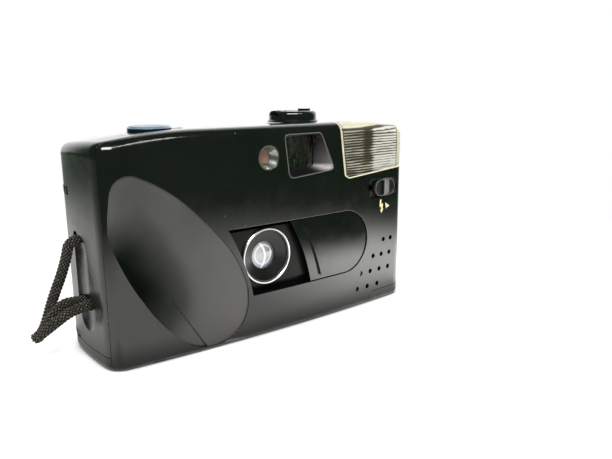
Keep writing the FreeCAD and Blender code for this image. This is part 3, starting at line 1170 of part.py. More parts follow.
front_cover()
top_cover()
bottom_cover()
battery_hatch()
main_frame()
side_walls()
lens_group()
lens_cover()
thumb_wheel()
take_up()
sprocket()
rewind()
release()
back_door()
film_pressure()
viewfinder()
flash()
flash_switch()
routes = [cord("strap_cord", CORD), cord("strap_tail", TAIL)]
doc.recompute()

faults = [thing.Label for thing in doc.Objects if "Invalid" in thing.State or "Error" in thing.State]
for node in NODES:
    shape = node.Shape
    if shape.isNull() or not shape.isValid() or not shape.Solids:
        faults.append(node.Label)
if faults:
    raise RuntimeError("Not sound: " + ", ".join(faults))

for node, route in zip(NODES[-2:], routes):
    section_area = math.pi * value("cord_size") ** 2 / 4
    print("%s: volume %.0f of %.0f" % (node.Label, node.Shape.Volume, section_area * route.Shape.Length))

os.makedirs("parts", exist_ok=True)
for node in NODES:
    node.Shape.exportStep("parts/%s.step" % node.Label)
    print(node.Label, len(node.Shape.Solids), "solid(s)", round(node.Shape.Volume), "mm3")
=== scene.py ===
import math

import bpy
import numpy as np
from bpy.props import FloatProperty, FloatVectorProperty, IntProperty, PointerProperty
from bpy.types import Operator, Panel, PropertyGroup
from mathutils import Matrix, Vector


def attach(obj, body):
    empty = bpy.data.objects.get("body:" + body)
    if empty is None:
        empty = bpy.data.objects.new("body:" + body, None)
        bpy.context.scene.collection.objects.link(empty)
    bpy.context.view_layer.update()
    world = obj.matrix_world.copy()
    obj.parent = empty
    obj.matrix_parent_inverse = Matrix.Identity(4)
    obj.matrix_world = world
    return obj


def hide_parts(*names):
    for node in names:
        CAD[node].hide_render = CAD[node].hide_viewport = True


bl_info = {
    "name": "Compact film camera",
    "version": (1, 0, 0),
    "blender": (4, 5, 0),
    "location": "View3D > Sidebar > Film camera",
    "description": "Finishes, wrist cord and studio for a compact 35 mm film camera",
    "category": "Object",
}

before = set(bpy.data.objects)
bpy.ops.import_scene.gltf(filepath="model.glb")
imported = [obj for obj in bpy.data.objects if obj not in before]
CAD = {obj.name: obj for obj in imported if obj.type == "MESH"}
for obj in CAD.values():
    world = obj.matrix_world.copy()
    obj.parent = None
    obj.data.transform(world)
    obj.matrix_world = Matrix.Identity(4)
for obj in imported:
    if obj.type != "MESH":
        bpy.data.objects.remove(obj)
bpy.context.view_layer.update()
MM = 0.001
WHITE = (1, 1, 1)

# The body's bowed front, in millimetres
HALF_WIDTH, FRONT_Y, BOW = 63.0, -20.5, 2.8
BOW_RADIUS = (HALF_WIDTH ** 2 + BOW ** 2) / (2 * BOW)


# Expressions on node sockets

class Value:
    """A socket that takes part in Python expressions, each of which adds its nodes."""

    def __init__(self, tree, socket):
        self.tree, self.socket = tree, socket

    def math(self, operation, *others):
        inputs = dict(enumerate((self, *others)))
        return self.tree.add("ShaderNodeMath", {"operation": operation}, inputs)[0]

    def __add__(self, other):
        return self.math("ADD", other)

    def __mul__(self, other):
        return self.math("MULTIPLY", other)

    __radd__, __rmul__ = __add__, __mul__

    def __sub__(self, other):
        return self.math("SUBTRACT", other)

    def __rsub__(self, other):
        return (self * -1) + other

    def __truediv__(self, other):
        return self.math("DIVIDE", other)

    def __pow__(self, other):
        return self.math("POWER", other)

    def __gt__(self, other):
        return self.math("GREATER_THAN", other)

    def __lt__(self, other):
        return self.math("LESS_THAN", other)

    def __abs__(self):
        return self.math("ABSOLUTE")

    def low(self, other):
        return self.math("MINIMUM", other)

    def high(self, other):
        return self.math("MAXIMUM", other)

    def ramp(self, start, end, first=0.0, last=1.0):
        """Goes smoothly from first to last while the value goes from start to end."""
        inputs = {"Value": self, "From Min": start, "From Max": end,
                  "To Min": first, "To Max": last}
        return self.tree.add("ShaderNodeMapRange", {"interpolation_type": "SMOOTHSTEP"}, inputs)[0]

    def fall(self, start, end):
        """Goes smoothly from 1 to 0 while the value goes from start to end."""
        return self.ramp(start, end, 1.0, 0.0)


class Made:
    """A node that was added. Its outputs are read by index or name."""

    def __init__(self, tree, node):
        self.tree, self.node = tree, node

    def __getitem__(self, output):
        return Value(self.tree, self.node.outputs[output])


class Tree:
    """A node tree that is written as calls and expressions."""

    def __init__(self, tree):
        self.nodes, self.links = tree.nodes, tree.links

    def add(self, kind, settings=None, inputs=None):
        """Adds a node of a kind with its settings, and with values or links in its sockets."""
        node = self.nodes.new(kind)
        for key, setting in (settings or {}).items():
            if key == "stops":
                stops = node.color_ramp.elements
                while len(stops) < len(setting):
                    stops.new(0.5)
                for stop, (place, color) in zip(stops, setting):
                    stop.position, stop.color = place, (*color, 1)
            else:
                setattr(node, key, setting)
        for key, value in (inputs or {}).items():
            if isinstance(value, Value):
                self.links.new(value.socket, node.inputs[key])
            else:
                socket = node.inputs[key]
                if socket.type == "RGBA" and len(value) == 3:
                    value = (*value, 1)
                socket.default_value = value
        return Made(self, node)

    def mix(self, factor, first, second):
        """A colour between two colours."""
        inputs = {0: factor, 6: first, 7: second}
        return self.add("ShaderNodeMix", {"data_type": "RGBA"}, inputs)[2]

    def blend(self, factor, first, second):
        """A shader between two shaders."""
        return self.add("ShaderNodeMixShader", inputs={0: factor, 1: first, 2: second})[0]

    def shine(self, kind, color, strength):
        """A shader that gives light: kind is Emission or Background."""
        return self.add("ShaderNode" + kind, inputs={"Color": color, "Strength": strength})[0]

    def vector(self, operation, *inputs):
        """The result of an operation on vectors."""
        settings = {"operation": operation}
        return self.add("ShaderNodeVectorMath", settings, dict(enumerate(inputs)))[0]

    def place(self):
        """The point on the piece, in metres."""
        return self.add("ShaderNodeTexCoord")["Object"]

    def parts(self, vector):
        """The three parts of a vector."""
        made = self.add("ShaderNodeSeparateXYZ", inputs={0: vector})
        return made[0], made[1], made[2]

    def noise(self, vector, size, detail=2.0, roughness=0.5):
        """Noise whose grains are about size metres wide."""
        inputs = {"Vector": vector, "Scale": 1 / size, "Detail": detail, "Roughness": roughness}
        return self.add("ShaderNodeTexNoise", inputs=inputs)[0]

    def cells(self, vector, size):
        """Cells about size metres wide, with the distance from their middles."""
        return self.add("ShaderNodeTexVoronoi", inputs={"Vector": vector, "Scale": 1 / size})

    def bump(self, height, distance, normal=None):
        """A bump whose height 0 to 1 is distance metres."""
        inputs = {"Height": height, "Distance": distance, "Strength": 1.0}
        if normal is not None:
            inputs["Normal"] = normal
        return self.add("ShaderNodeBump", inputs=inputs)[0]

    def lean(self, normal, direction, amount):
        """The normal leant in a direction. The amount may vary over the piece."""
        inputs = {0: direction, "Scale": amount}
        part = self.add("ShaderNodeVectorMath", {"operation": "SCALE"}, inputs)[0]
        return self.vector("NORMALIZE", self.vector("ADD", normal, part))

    def edge(self, radius):
        """The normal of edges that are softened by a small radius."""
        return self.add("ShaderNodeBevel", {"samples": 4}, {"Radius": radius})[0]


def finish(name, paint):
    """A material whose tree paint(tree) fills. paint returns the sockets of a Principled shader."""
    material = bpy.data.materials.new(name)
    material.use_nodes = True
    material.node_tree.nodes.clear()
    tree = Tree(material.node_tree)
    shader = paint(tree)
    if isinstance(shader, dict):
        shader = tree.add("ShaderNodeBsdfPrincipled", inputs=shader)[0]
    tree.add("ShaderNodeOutputMaterial", inputs={0: shader})
    return material


# Finishes

def specks(tree, place):
    """Sparse dust: 1 on a grain, 0 between them."""
    grains = tree.cells(place, 2.6 * MM)
    rare = tree.parts(grains["Color"])[0] > 0.8
    return (grains["Distance"] < 0.05) * rare


def gloss_plastic(tree, color=(0.0028, 0.003, 0.0029), roughness=0.13):
    """Black plastic from a polished mould, dulled a little by handling."""
    place = tree.place()
    swirl = tree.noise(place, 22 * MM, 3)
    smear = tree.noise(place, 6 * MM, 4, 0.6)
    skin = tree.noise(place, 0.5 * MM, 2)
    dust = specks(tree, place)
    shade = tree.mix(swirl.ramp(0.3, 0.75), color, tuple(1.5 * part for part in color))
    return {
        "Base Color": tree.mix(dust * 0.8, shade, (0.35, 0.34, 0.32)),
        "Roughness": smear.ramp(0.35, 0.8, roughness - 0.03, roughness + 0.06) + dust * 0.3,
        "Specular IOR Level": 0.85,
        "Normal": tree.bump(skin * 0.6 + smear * 0.4, 0.002 * MM, tree.edge(0.12 * MM)),
    }


def matte_plastic(tree, color=(0.012, 0.012, 0.012), roughness=0.5, grain=0.16, depth=0.012,
                  gloss=0.6, normal=None):
    """Black plastic from a mould with a fine etched grain. Grain and depth are in millimetres."""
    place = tree.place()
    pits = tree.noise(place, grain * MM, 3, 0.65)
    patch = tree.noise(place, 14 * MM, 3)
    dust = specks(tree, place)
    shade = tree.mix(patch.ramp(0.3, 0.75), color, tuple(1.4 * part for part in color))
    if normal is None:
        normal = tree.edge(0.1 * MM)
    return {
        "Base Color": tree.mix(dust * 0.6, shade, (0.3, 0.29, 0.28)),
        "Roughness": patch.ramp(0.3, 0.8, roughness - 0.04, roughness + 0.08),
        "Specular IOR Level": gloss,
        "Normal": tree.bump(pits, depth * MM, normal),
    }


def satin_plastic(tree, color=(0.004, 0.004, 0.004)):
    """Black plastic between gloss and matte."""
    return matte_plastic(tree, color, 0.3, 0.3, 0.004)


def grip_plastic(tree):
    """Matte plastic that is dished along the grip's lower left edge, where painted shade darkens
    it.
    """
    x, y, z = tree.parts(tree.place())
    bowed = tree.add("ShaderNodeCombineXYZ", inputs={0: x / (BOW_RADIUS * MM), 1: -1.0, 2: 0.0})[0]
    smooth = tree.vector("NORMALIZE", bowed)
    sockets = matte_plastic(tree, (0.042, 0.042, 0.0385), 0.36, 0.2, 0.012, 0.8, smooth)
    # The edge's middle, and the slant of the line across it
    edge_x, edge_z, slant = -46 * MM, 24.8 * MM, math.radians(31.9)
    across = (x - edge_x) * -math.cos(slant) + (z - edge_z) * -math.sin(slant)
    along = (x - edge_x) * -math.sin(slant) + (z - edge_z) * math.cos(slant)
    foot, head = along.ramp(-20 * MM, 4 * MM, 0.25, 1.0), along.fall(14 * MM, 32 * MM)
    dish_and_painted_shade = across.ramp(-13 * MM, 5 * MM) * foot * head
    # Painted shade: the dish is darkened towards black, besides being leant and made glossier
    sockets["Base Color"] = tree.mix(dish_and_painted_shade, sockets["Base Color"], (0.001, 0.001, 0.001))
    sockets["Roughness"] = sockets["Roughness"] - dish_and_painted_shade * 0.16
    sockets["Normal"] = tree.lean(sockets["Normal"], (0.45, 0, 0.8), dish_and_painted_shade * 0.85)
    return sockets


def cover_plastic(tree):
    """The gloss of a flat cover in the bowed front, which leans up a little."""
    sockets = gloss_plastic(tree)
    z = tree.parts(tree.place())[2]
    lean = z.ramp(14 * MM, 41 * MM, 0.03, 0.085)
    sockets["Normal"] = tree.lean(sockets["Normal"], (-0.3, 0, 1), lean)
    return sockets


def switch_plastic(tree):
    """The flash switch: a dark round end, with a painted highlight on its slope and a fainter grey
    one on its ridge.
    """
    sockets = satin_plastic(tree, (0.006, 0.006, 0.006))
    x = tree.parts(tree.place())[0]
    slope = x.ramp(51.2 * MM, 51.6 * MM) * x.fall(52.5 * MM, 52.7 * MM)
    ridge = x.ramp(52.9 * MM, 53.1 * MM) * x.fall(54.8 * MM, 55.2 * MM)
    # Painted highlight: the slope is lightened fully, and the ridge about half as much
    painted_highlight = slope + ridge * 0.45
    sockets["Base Color"] = tree.mix(painted_highlight, sockets["Base Color"], (0.42, 0.42, 0.41))
    return sockets


def tube_plastic(tree):
    """The viewfinder's tube, with painted streaks of light and painted glints low down, which stand
    in for what shows in its glass.
    """
    sockets = gloss_plastic(tree, (0.03, 0.028, 0.018), 0.16)
    place = tree.place()
    low = tree.parts(place)[2].fall(58 * MM, 61 * MM)
    # Painted light: streaks and glints lighten the tube's colour
    streaks = tree.noise(tree.vector("MULTIPLY", place, (1, 1, 0.16)), 1.1 * MM, 2)
    glints = tree.noise(place, 0.9 * MM, 2).ramp(0.62, 0.7) * low
    shade = tree.mix(streaks.ramp(0.5, 0.68), sockets["Base Color"], (0.26, 0.25, 0.17))
    sockets["Base Color"] = tree.mix(glints, shade, (0.9, 0.9, 0.86))
    return sockets


def bezel_plastic(tree):
    """The viewfinder's funnel, with painted light on its right wall, brightest in its lower right
    corner.
    """
    sockets = satin_plastic(tree)
    x, y, z = tree.parts(tree.place())
    # Painted light: the right wall and the lower right corner are lightened
    wall = x.ramp(16 * MM, 22.5 * MM) * 0.35
    corner = x.ramp(14 * MM, 22 * MM) * abs(z - 57 * MM).fall(0.3 * MM, 1.6 * MM)
    sockets["Base Color"] = tree.mix(wall + corner, sockets["Base Color"], (0.34, 0.33, 0.33))
    return sockets


def metal(tree, color=(0.72, 0.72, 0.72), roughness=0.22):
    """Turned or plated metal with fine marks."""
    place = tree.place()
    marks = tree.noise(place, 0.3 * MM, 4, 0.6)
    patch = tree.noise(place, 4 * MM, 3)
    return {
        "Base Color": tree.mix(patch.ramp(0.3, 0.8), color, tuple(0.8 * part for part in color)),
        "Metallic": 1.0,
        "Roughness": marks.ramp(0.3, 0.75, roughness - 0.06, roughness + 0.1),
        "Normal": tree.bump(marks, 0.002 * MM, tree.edge(0.06 * MM)),
    }


def gilt_plastic(tree):
    """Plastic with a thin gilt coat."""
    return {**metal(tree, (0.9, 0.85, 0.62), 0.3), "Metallic": 0.25}


def clear_plastic(tree):
    """Clear plastic with a few faint smears."""
    smear = tree.noise(tree.place(), 5 * MM, 3)
    return {
        "Base Color": WHITE,
        "Transmission Weight": 1.0,
        "IOR": 1.49,
        "Roughness": smear.ramp(0.45, 0.8, 0.02, 0.07),
    }


def ribbed_screen(tree):
    """The flash window's inner side: ribs with painted light, brighter at the right with painted
    glints low at the right, and the tube painted as a dark band, in a pale frame.
    """
    place = tree.place()
    x, y, z = tree.parts(place)
    rib, tube_x = 1.02 * MM, 42.6 * MM
    ripple = tree.noise(tree.vector("MULTIPLY", place, (0.12, 1, 0.5)), 1.2 * MM, 2)
    wave = (z * (2 * math.pi / rib) + ripple * 5.0).math("SINE")
    band = abs(x - tube_x + ripple * 1.5 * MM).fall(0.4 * MM, 3.6 * MM)
    right, low = x.ramp(43.5 * MM, 46.5 * MM), z.fall(56.5 * MM, 60.5 * MM)
    # Painted light and shade: the ribs' brightness, the brighter right side, the glints low at the
    # right and the tube's dark band
    level = (right * 0.62 + ripple.ramp(0.35, 0.65, -0.25, 0.25)
             - band * (0.75 - 0.6 * low) + low * right * 0.5)
    light = (wave * 0.7 + level).ramp(-0.5, 1.15)
    ribs = tree.add("ShaderNodeValToRGB", {"stops": [
        (0.0, (0.035, 0.028, 0.016)), (0.4, (0.16, 0.14, 0.085)),
        (0.75, (0.62, 0.6, 0.48)), (1.0, (1.0, 1.0, 0.97))]}, {0: light})[0]
    # The window's left edge slants, so its frame is measured from that edge
    (left, top), slope = FLASH_EDGE[0], 0.14
    inset = x - left * MM - (top * MM - z) * slope
    border = inset.fall(1.5 * MM, 1.7 * MM).high((z > 70.2 * MM).high(x > 59.4 * MM))
    seam = abs(inset - 1.9 * MM).low(abs(x - 59.0 * MM)).low(abs(z - 69.9 * MM))
    shade = tree.mix(border, ribs, (0.86, 0.82, 0.64))
    return {
        "Base Color": tree.mix(seam.fall(0.12 * MM, 0.3 * MM), shade, (0.1, 0.085, 0.045)),
        "Roughness": light.ramp(0, 1, 0.5, 0.25),
        "Metallic": 0.15,
    }


def coated_lens(tree):
    """The front lens, with painted reflections of bright panes, split by arcs."""
    x, y, z = tree.parts(tree.place())
    middle_x, middle_z, radius = -5.9 * MM, 27.8 * MM, 5.5 * MM
    across, up = (x - middle_x) / radius, (z - middle_z) / radius
    reach = (across ** 2 + up ** 2) ** 0.5
    arc = abs(((across + 1.25) ** 2 + (up + 0.1) ** 2) ** 0.5 - 1.35).fall(0.02, 0.1)
    ring = abs(reach - 0.62).ramp(0.02, 0.07, 0.6, 0.0)
    # Painted reflection: the pale and blue parts, the arc and the ring
    shade = tree.mix(across.ramp(-0.6, 0.9), (0.5, 0.5, 0.52), (0.13, 0.12, 0.15))
    shade = tree.mix(up.ramp(-0.8, 0.1, 0.5, 0.0), shade, (0.25, 0.36, 0.45))
    shade = tree.mix(arc.high(ring), shade, (0.95, 0.96, 0.98))
    rim = reach.ramp(0.86, 0.98)
    return {
        "Base Color": tree.mix(rim, shade, (0.02, 0.02, 0.02)),
        "Roughness": rim.ramp(0, 1, 0.06, 0.2),
        "Coat Weight": 1.0,
        "Specular IOR Level": 0.8,
    }


def braid_finish(tree):
    """Shiny thread with brown and gold fibres. Painted light shows them on the strands' crests, and
    painted shade leaves it black between the strands.
    """
    place = tree.place()
    fibre = tree.noise(place, 0.1 * MM, 3, 0.7)
    gold = tree.noise(place, 0.5 * MM, 1).ramp(0.55, 0.66)
    # Painted light and shade: the crest lightens the strands' tops and leaves their gaps black
    crest = tree.add("ShaderNodeAttribute", {"attribute_name": "crest"})["Fac"].ramp(0.3, 0.95)
    shade = tree.mix(gold, (0.03, 0.027, 0.02), (0.16, 0.145, 0.09))
    lit = crest * fibre.ramp(0.3, 0.6, 0.5, 1.0)
    return {
        "Base Color": tree.mix(lit, (0.0015, 0.0013, 0.001), shade),
        "Roughness": fibre.ramp(0.3, 0.7, 0.4, 0.65),
        "Normal": tree.bump(fibre, 0.05 * MM),
    }


def dress(material, *nodes):
    """Gives CAD nodes a finish."""
    for node in nodes:
        slots = CAD[node].data.materials
        slots.clear()
        slots.append(material)


def inlay(node, material, numbers):
    """Gives some faces of a CAD node a finish of their own."""
    mesh = CAD[node].data
    mesh.materials.append(material)
    for number in numbers:
        mesh.polygons[number].material_index = len(mesh.materials) - 1


# Meshes

def placed(name, data):
    """An object in the scene that holds a mesh, a curve, a lamp or a camera."""
    holder = bpy.data.objects.new(name, data)
    bpy.context.scene.collection.objects.link(holder)
    return holder


def new_piece(name, verts, faces, material, body, smooth=True):
    """A mesh piece in the row frame that rides on a body."""
    mesh = bpy.data.meshes.new(name)
    mesh.from_pydata([tuple(v) for v in verts], [], [tuple(f) for f in faces])
    mesh.materials.append(material)
    mesh.polygons.foreach_set("use_smooth", [smooth] * len(mesh.polygons))
    mesh.update()
    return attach(placed(name, mesh), body)


def plain_mesh(holder):
    """An object's mesh with its modifiers and its curve worked out. The object goes."""
    bpy.context.view_layer.update()
    worked_out = holder.evaluated_get(bpy.context.evaluated_depsgraph_get())
    mesh = bpy.data.meshes.new_from_object(worked_out)
    bpy.data.objects.remove(holder)
    return mesh


def unit_rows(vectors):
    """The rows of vectors, each of length 1."""
    return vectors / np.linalg.norm(vectors, axis=1)[:, None]


def tube_points(line, across, out, wide, thick, ring):
    """The points of a tube round a line, one row along it for each of the ring's corners."""
    points = []
    for corner in range(ring):
        angle = 2 * math.pi * corner / ring
        points.extend(line + wide * math.cos(angle) * across + thick * math.sin(angle) * out)
    return points


def tube_faces(start, ring, count, closed=False):
    """The faces of a tube whose rows of count points begin at number start."""
    faces = []
    for corner in range(ring):
        row, beside = start + corner * count, start + (corner + 1) % ring * count
        for step in range(count if closed else count - 1):
            after = (step + 1) % count
            faces.append((row + step, row + after, beside + after, beside + step))
    if not closed:
        for end in (0, count - 1):
            cap = [start + corner * count + end for corner in range(ring)]
            faces.append(cap if end else cap[::-1])
    return faces


def ring_of_marks(name, values, material, place, body):
    """Small bars set out evenly round a circle by geometry nodes, pointing at its middle."""
    group = bpy.data.node_groups.new(name, "GeometryNodeTree")
    sockets = group.interface
    sockets.new_socket("Geometry", in_out="OUTPUT", socket_type="NodeSocketGeometry")
    for key, value in values.items():
        kind = "NodeSocketInt" if isinstance(value, int) else "NodeSocketFloat"
        sockets.new_socket(key, in_out="INPUT", socket_type=kind)
    tree = Tree(group)
    given = tree.add("NodeGroupInput")
    ring = tree.add("GeometryNodeMeshCircle", inputs={
        "Vertices": given["Count"], "Radius": given["Radius"]})[0]
    size = tree.add("ShaderNodeCombineXYZ", inputs={
        0: given["Length"], 1: given["Width"], 2: given["Thickness"]})[0]
    bar = tree.add("GeometryNodeMeshCube", inputs={"Size": size})[0]
    point = tree.add("GeometryNodeInputPosition")[0]
    turn = tree.add("FunctionNodeAlignRotationToVector", {"axis": "X"}, {"Vector": point})[0]
    bars = tree.add("GeometryNodeInstanceOnPoints", inputs={
        "Points": ring, "Instance": bar, "Rotation": turn})[0]
    whole = tree.add("GeometryNodeRealizeInstances", inputs={0: bars})[0]
    coloured = tree.add("GeometryNodeSetMaterial", inputs={"Geometry": whole})
    coloured.node.inputs["Material"].default_value = material
    tree.add("NodeGroupOutput", inputs={0: coloured[0]})
    holder = placed(name + "_holder", bpy.data.meshes.new(name))
    modifier = holder.modifiers.new(name, "NODES")
    modifier.node_group = group
    for item in sockets.items_tree:
        if item.in_out == "INPUT":
            modifier[item.identifier] = values[item.name]
    mesh = plain_mesh(holder)
    mesh.transform(Matrix.Translation(place))
    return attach(placed(name, mesh), body)


# Wrist cord

# Points of the cord in millimetres: from the upper hole down to its fold, back through the
# lower hole, where it turns, and out again beside itself to its loose end
ROUTE = [
    (-61.0, 2.4, 39.5), (-66.5, 3.1, 38.8), (-67.2, 4.0, 34.0), (-69.2, 5.0, 27.4),
    (-72.0, 6.6, 20.0), (-74.2, 11.2, 8.8), (-78.3, 7.0, 6.9), (-74.9, 0.6, 15.6),
    (-71.0, 1.5, 19.2), (-66.4, 2.6, 18.9), (-61.0, 2.4, 18.4), (-61.0, -1.5, 18.2),
    (-66.2, -1.5, 17.8), (-70.2, -2.2, 17.2), (-75.7, -4.0, 15.0), (-80.2, 0.0, 10.4),
]


def centre_line(points, step):
    """Points about every step metres along the smooth line of a cord's points, and its length."""
    curve = bpy.data.curves.new("line", "CURVE")
    curve.dimensions = "3D"
    curve.resolution_u = 24
    spline = curve.splines.new("NURBS")
    spline.points.add(len(points) - 1)
    for point, place in zip(spline.points, points):
        point.co = (*(MM * part for part in place), 1)
    spline.order_u = 3
    spline.use_endpoint_u = True
    mesh = plain_mesh(placed("line", curve))
    line = np.array([vertex.co for vertex in mesh.vertices])
    runs = np.linalg.norm(np.diff(line, axis=0), axis=1)
    along = np.concatenate([[0], np.cumsum(runs)])
    places = np.linspace(0, along[-1], int(along[-1] / step) + 1)
    evened = [np.interp(places, along, line[:, axis]) for axis in range(3)]
    return np.stack(evened, axis=1), along[-1]


def side_vectors(line):
    """Two vectors across the line at each point, which don't twist along it."""
    ahead = unit_rows(np.gradient(line, axis=0))
    side = np.cross(ahead[0], (0, 0, 1))
    sides = []
    for direction in ahead:
        side = side - direction * np.dot(side, direction)
        side /= np.linalg.norm(side)
        sides.append(side)
    sides = np.array(sides)
    return sides, np.cross(ahead, sides)


def braid(name, points, size, strands, pitch, material, body):
    """A round braid: half of its strands turn each way, over one and under the next."""
    strand_ring, core_ring = 8, 12
    line, length = centre_line(points, 0.26 * MM)
    sides, ups = side_vectors(line)
    count = len(line)
    along = np.linspace(0, length, count)
    wave = np.cos(strands * math.pi * along / pitch)
    thick, wide = size * 0.1, math.pi * size * 0.62 / strands
    middle = size / 2 - 2.0 * thick
    verts, faces, crests = [], [], []
    for strand in range(strands):
        way = 1 if strand % 2 else -1
        turn = 2 * math.pi * (strand // 2) / (strands / 2) + way * 2 * math.pi * along / pitch
        out = np.cos(turn)[:, None] * sides + np.sin(turn)[:, None] * ups
        centre = line + out * (middle + way * thick * wave)[:, None]
        across = np.cross(unit_rows(np.gradient(centre, axis=0)), out)
        faces.extend(tube_faces(len(verts), strand_ring, count))
        verts.extend(tube_points(centre, across, out, wide, thick, strand_ring))
        # The crest is how far out each point of a strand stands; the cord's finish paints light on
        # it and shade where it is low
        for corner in range(strand_ring):
            outward = 0.5 + 0.5 * math.sin(2 * math.pi * corner / strand_ring)
            crests.extend((0.5 + 0.5 * way * wave) * outward)
    core = middle - thick
    faces.extend(tube_faces(len(verts), core_ring, count))
    verts.extend(tube_points(line, sides, ups, core, core, core_ring))
    crests.extend([0.0] * (len(verts) - len(crests)))
    piece = new_piece(name, verts, faces, material, body)
    piece.data.attributes.new("crest", "FLOAT", "POINT").data.foreach_set("value", crests)
    return piece, line, length


class CordSizes(PropertyGroup):
    size: FloatProperty(
        name="Diameter", description="Diameter of the wrist cord", default=0.0036, unit="LENGTH")
    strands: IntProperty(
        name="Strands", description="Strands of the braid, an even number", default=16,
        min=8, max=32)
    pitch: FloatProperty(
        name="Pitch", description="Length of a strand's full turn", default=0.0105, unit="LENGTH")


class CAMERA_OT_wrist_cord(Operator):
    """Braid the wrist cord along its route"""
    bl_idname = "film_camera.wrist_cord"
    bl_label = "Wrist cord"

    def execute(self, context):
        sizes = context.scene.film_camera_cord
        material = finish("braided cord", braid_finish)
        piece, line, length = braid("braided_cord", ROUTE, sizes.size, sizes.strands,
                                    sizes.pitch, material, "camera")
        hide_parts("strap_cord", "strap_tail")
        return {"FINISHED"}


# Covers and fittings. Outlines on the front are (X, Z) in millimetres

GRIP = [
    (-61.4, 43.6), (-61.3, 49.3), (-60.8, 53.4), (-59.4, 57.9), (-56.8, 59.9), (-52.7, 60.0),
    (-43.6, 55.1), (-37.3, 50.2), (-31.1, 44.0), (-24.2, 36.3), (-19.2, 28.9), (-16.3, 22.0),
    (-15.2, 14.7), (-16.8, 8.1), (-20.8, 3.7), (-26.5, 1.5), (-33.4, 1.8), (-38.8, 4.4),
    (-45.9, 11.5), (-52.3, 20.9), (-57.0, 29.6), (-60.1, 37.5),
]
FINDER_MOUTH = [
    (0.8, 68.6), (1.2, 69.4), (2.2, 69.7), (16.0, 69.7), (17.0, 69.2), (17.6, 68.3),
    (22.8, 57.6), (22.9, 56.5), (21.8, 56.0), (4.6, 54.6), (3.2, 54.9), (2.4, 56.2),
]
FLASH_EDGE = [(26.3, 71.9), (28.5, 56.2), (29.0, 53.2), (31.2, 52.1), (61.0, 54.35)]
SLOT_END_X, SLOT_END_Z, SLOT_END_RADIUS = 29.3, 27.55, 12.3
SLOT_EDGE = [(-22.3, SLOT_END_Z + SLOT_END_RADIUS)] + [
    (SLOT_END_X + SLOT_END_RADIUS * math.sin(math.radians(turn)),
     SLOT_END_Z + SLOT_END_RADIUS * math.cos(math.radians(turn))) for turn in range(0, 113, 8)]
SWITCH_EDGE = [
    (49.2, 49.6), (47.2, 49.0), (46.1, 47.4), (46.1, 45.4), (47.2, 43.8), (49.2, 43.2),
    (54.2, 43.2), (56.2, 43.8), (57.3, 45.4), (57.3, 47.4), (56.2, 49.0), (54.2, 49.6),
]
# A lightning bolt and an arrow head beside the flash switch
MARKS = [
    [(48.6, 41.7), (49.4, 41.7), (49.6, 39.7), (50.5, 40.0), (50.3, 37.9), (50.8, 37.9),
     (49.7, 36.2), (48.8, 37.6), (49.4, 37.7), (49.3, 38.9), (48.6, 38.6)],
    [(51.9, 40.2), (52.3, 37.8), (54.4, 38.6)],
]


def front_y(x):
    """Y of the bowed front at X, both in millimetres."""
    return FRONT_Y + BOW_RADIUS - math.sqrt(BOW_RADIUS ** 2 - x * x)


def is_inside(outline, x, z):
    """Whether a point lies within an outline (X, Z)."""
    crossings = 0
    for (x1, z1), (x2, z2) in zip(outline, outline[1:] + outline[:1]):
        if (z1 > z) != (z2 > z) and x < x1 + (x2 - x1) * (z - z1) / (z2 - z1):
            crossings += 1
    return crossings % 2 == 1


def faces_within(node, outline):
    """Numbers of a node's faces that look forwards within an outline or stand well inside it."""
    # In millimetres, and as the part of a face's normal that points forwards
    margin, turned = 0.8, 0.3
    around = ((margin, 0), (-margin, 0), (0, margin), (0, -margin))
    numbers = []
    for face in CAD[node].data.polygons:
        x, z, out = face.center.x / MM, face.center.z / MM, -face.normal.y
        if out <= -turned or not is_inside(outline, x, z):
            continue
        if out > turned or all(is_inside(outline, x + dx, z + dz) for dx, dz in around):
            numbers.append(face.index)
    return numbers


def dimple_faces():
    """Numbers of the front cover's faces in the small dimples at its lower right."""
    numbers = []
    for face in CAD["front_cover"].data.polygons:
        x, y, z = (part / MM for part in face.center)
        if (36 < x < 57 and 6 < z < 28 and (x > 41.8 or z < 12.5)
                and 0.1 < y - front_y(x) < 2.2):
            numbers.append(face.index)
    return numbers


def flash_window_faces():
    """Numbers of the flash window's inner faces, and of those on its rim."""
    middle = Vector((45 * MM, -8 * MM, 62 * MM))
    inner, rim = [], []
    for face in CAD["flash_window"].data.polygons:
        inward = (middle - face.center).normalized().dot(face.normal)
        if inward > 0.35:
            inner.append(face.index)
        elif inward > -0.25:
            rim.append(face.index)
    return inner, rim


def edge_line(name, outline, thickness, material, closed=True, depth=0.0):
    """The rounded lip along an edge on the front. In a pale finish it is a painted highlight on
    that edge.
    """
    pieces, ring = 6, 8
    nexts = outline[1:] + outline[:1] if closed else outline[1:]
    flat = [(x1 + (x2 - x1) * part / pieces, z1 + (z2 - z1) * part / pieces)
            for (x1, z1), (x2, z2) in zip(outline, nexts) for part in range(pieces)]
    if closed:
        line = np.array([(x, front_y(x) + depth, z) for x, z in flat]) * MM
        ahead = np.roll(line, -1, axis=0) - np.roll(line, 1, axis=0)
    else:
        flat.append(outline[-1])
        line = np.array([(x, front_y(x) + depth, z) for x, z in flat]) * MM
        ahead = np.gradient(line, axis=0)
    ahead = unit_rows(ahead)
    out = np.array([0.0, -1.0, 0.0]) + ahead * ahead[:, 1:2]
    radius = thickness * MM
    verts = tube_points(line, np.cross(ahead, out), out, radius, radius, ring)
    faces = tube_faces(0, ring, len(line), closed)
    return new_piece(name, verts, faces, material, "camera")


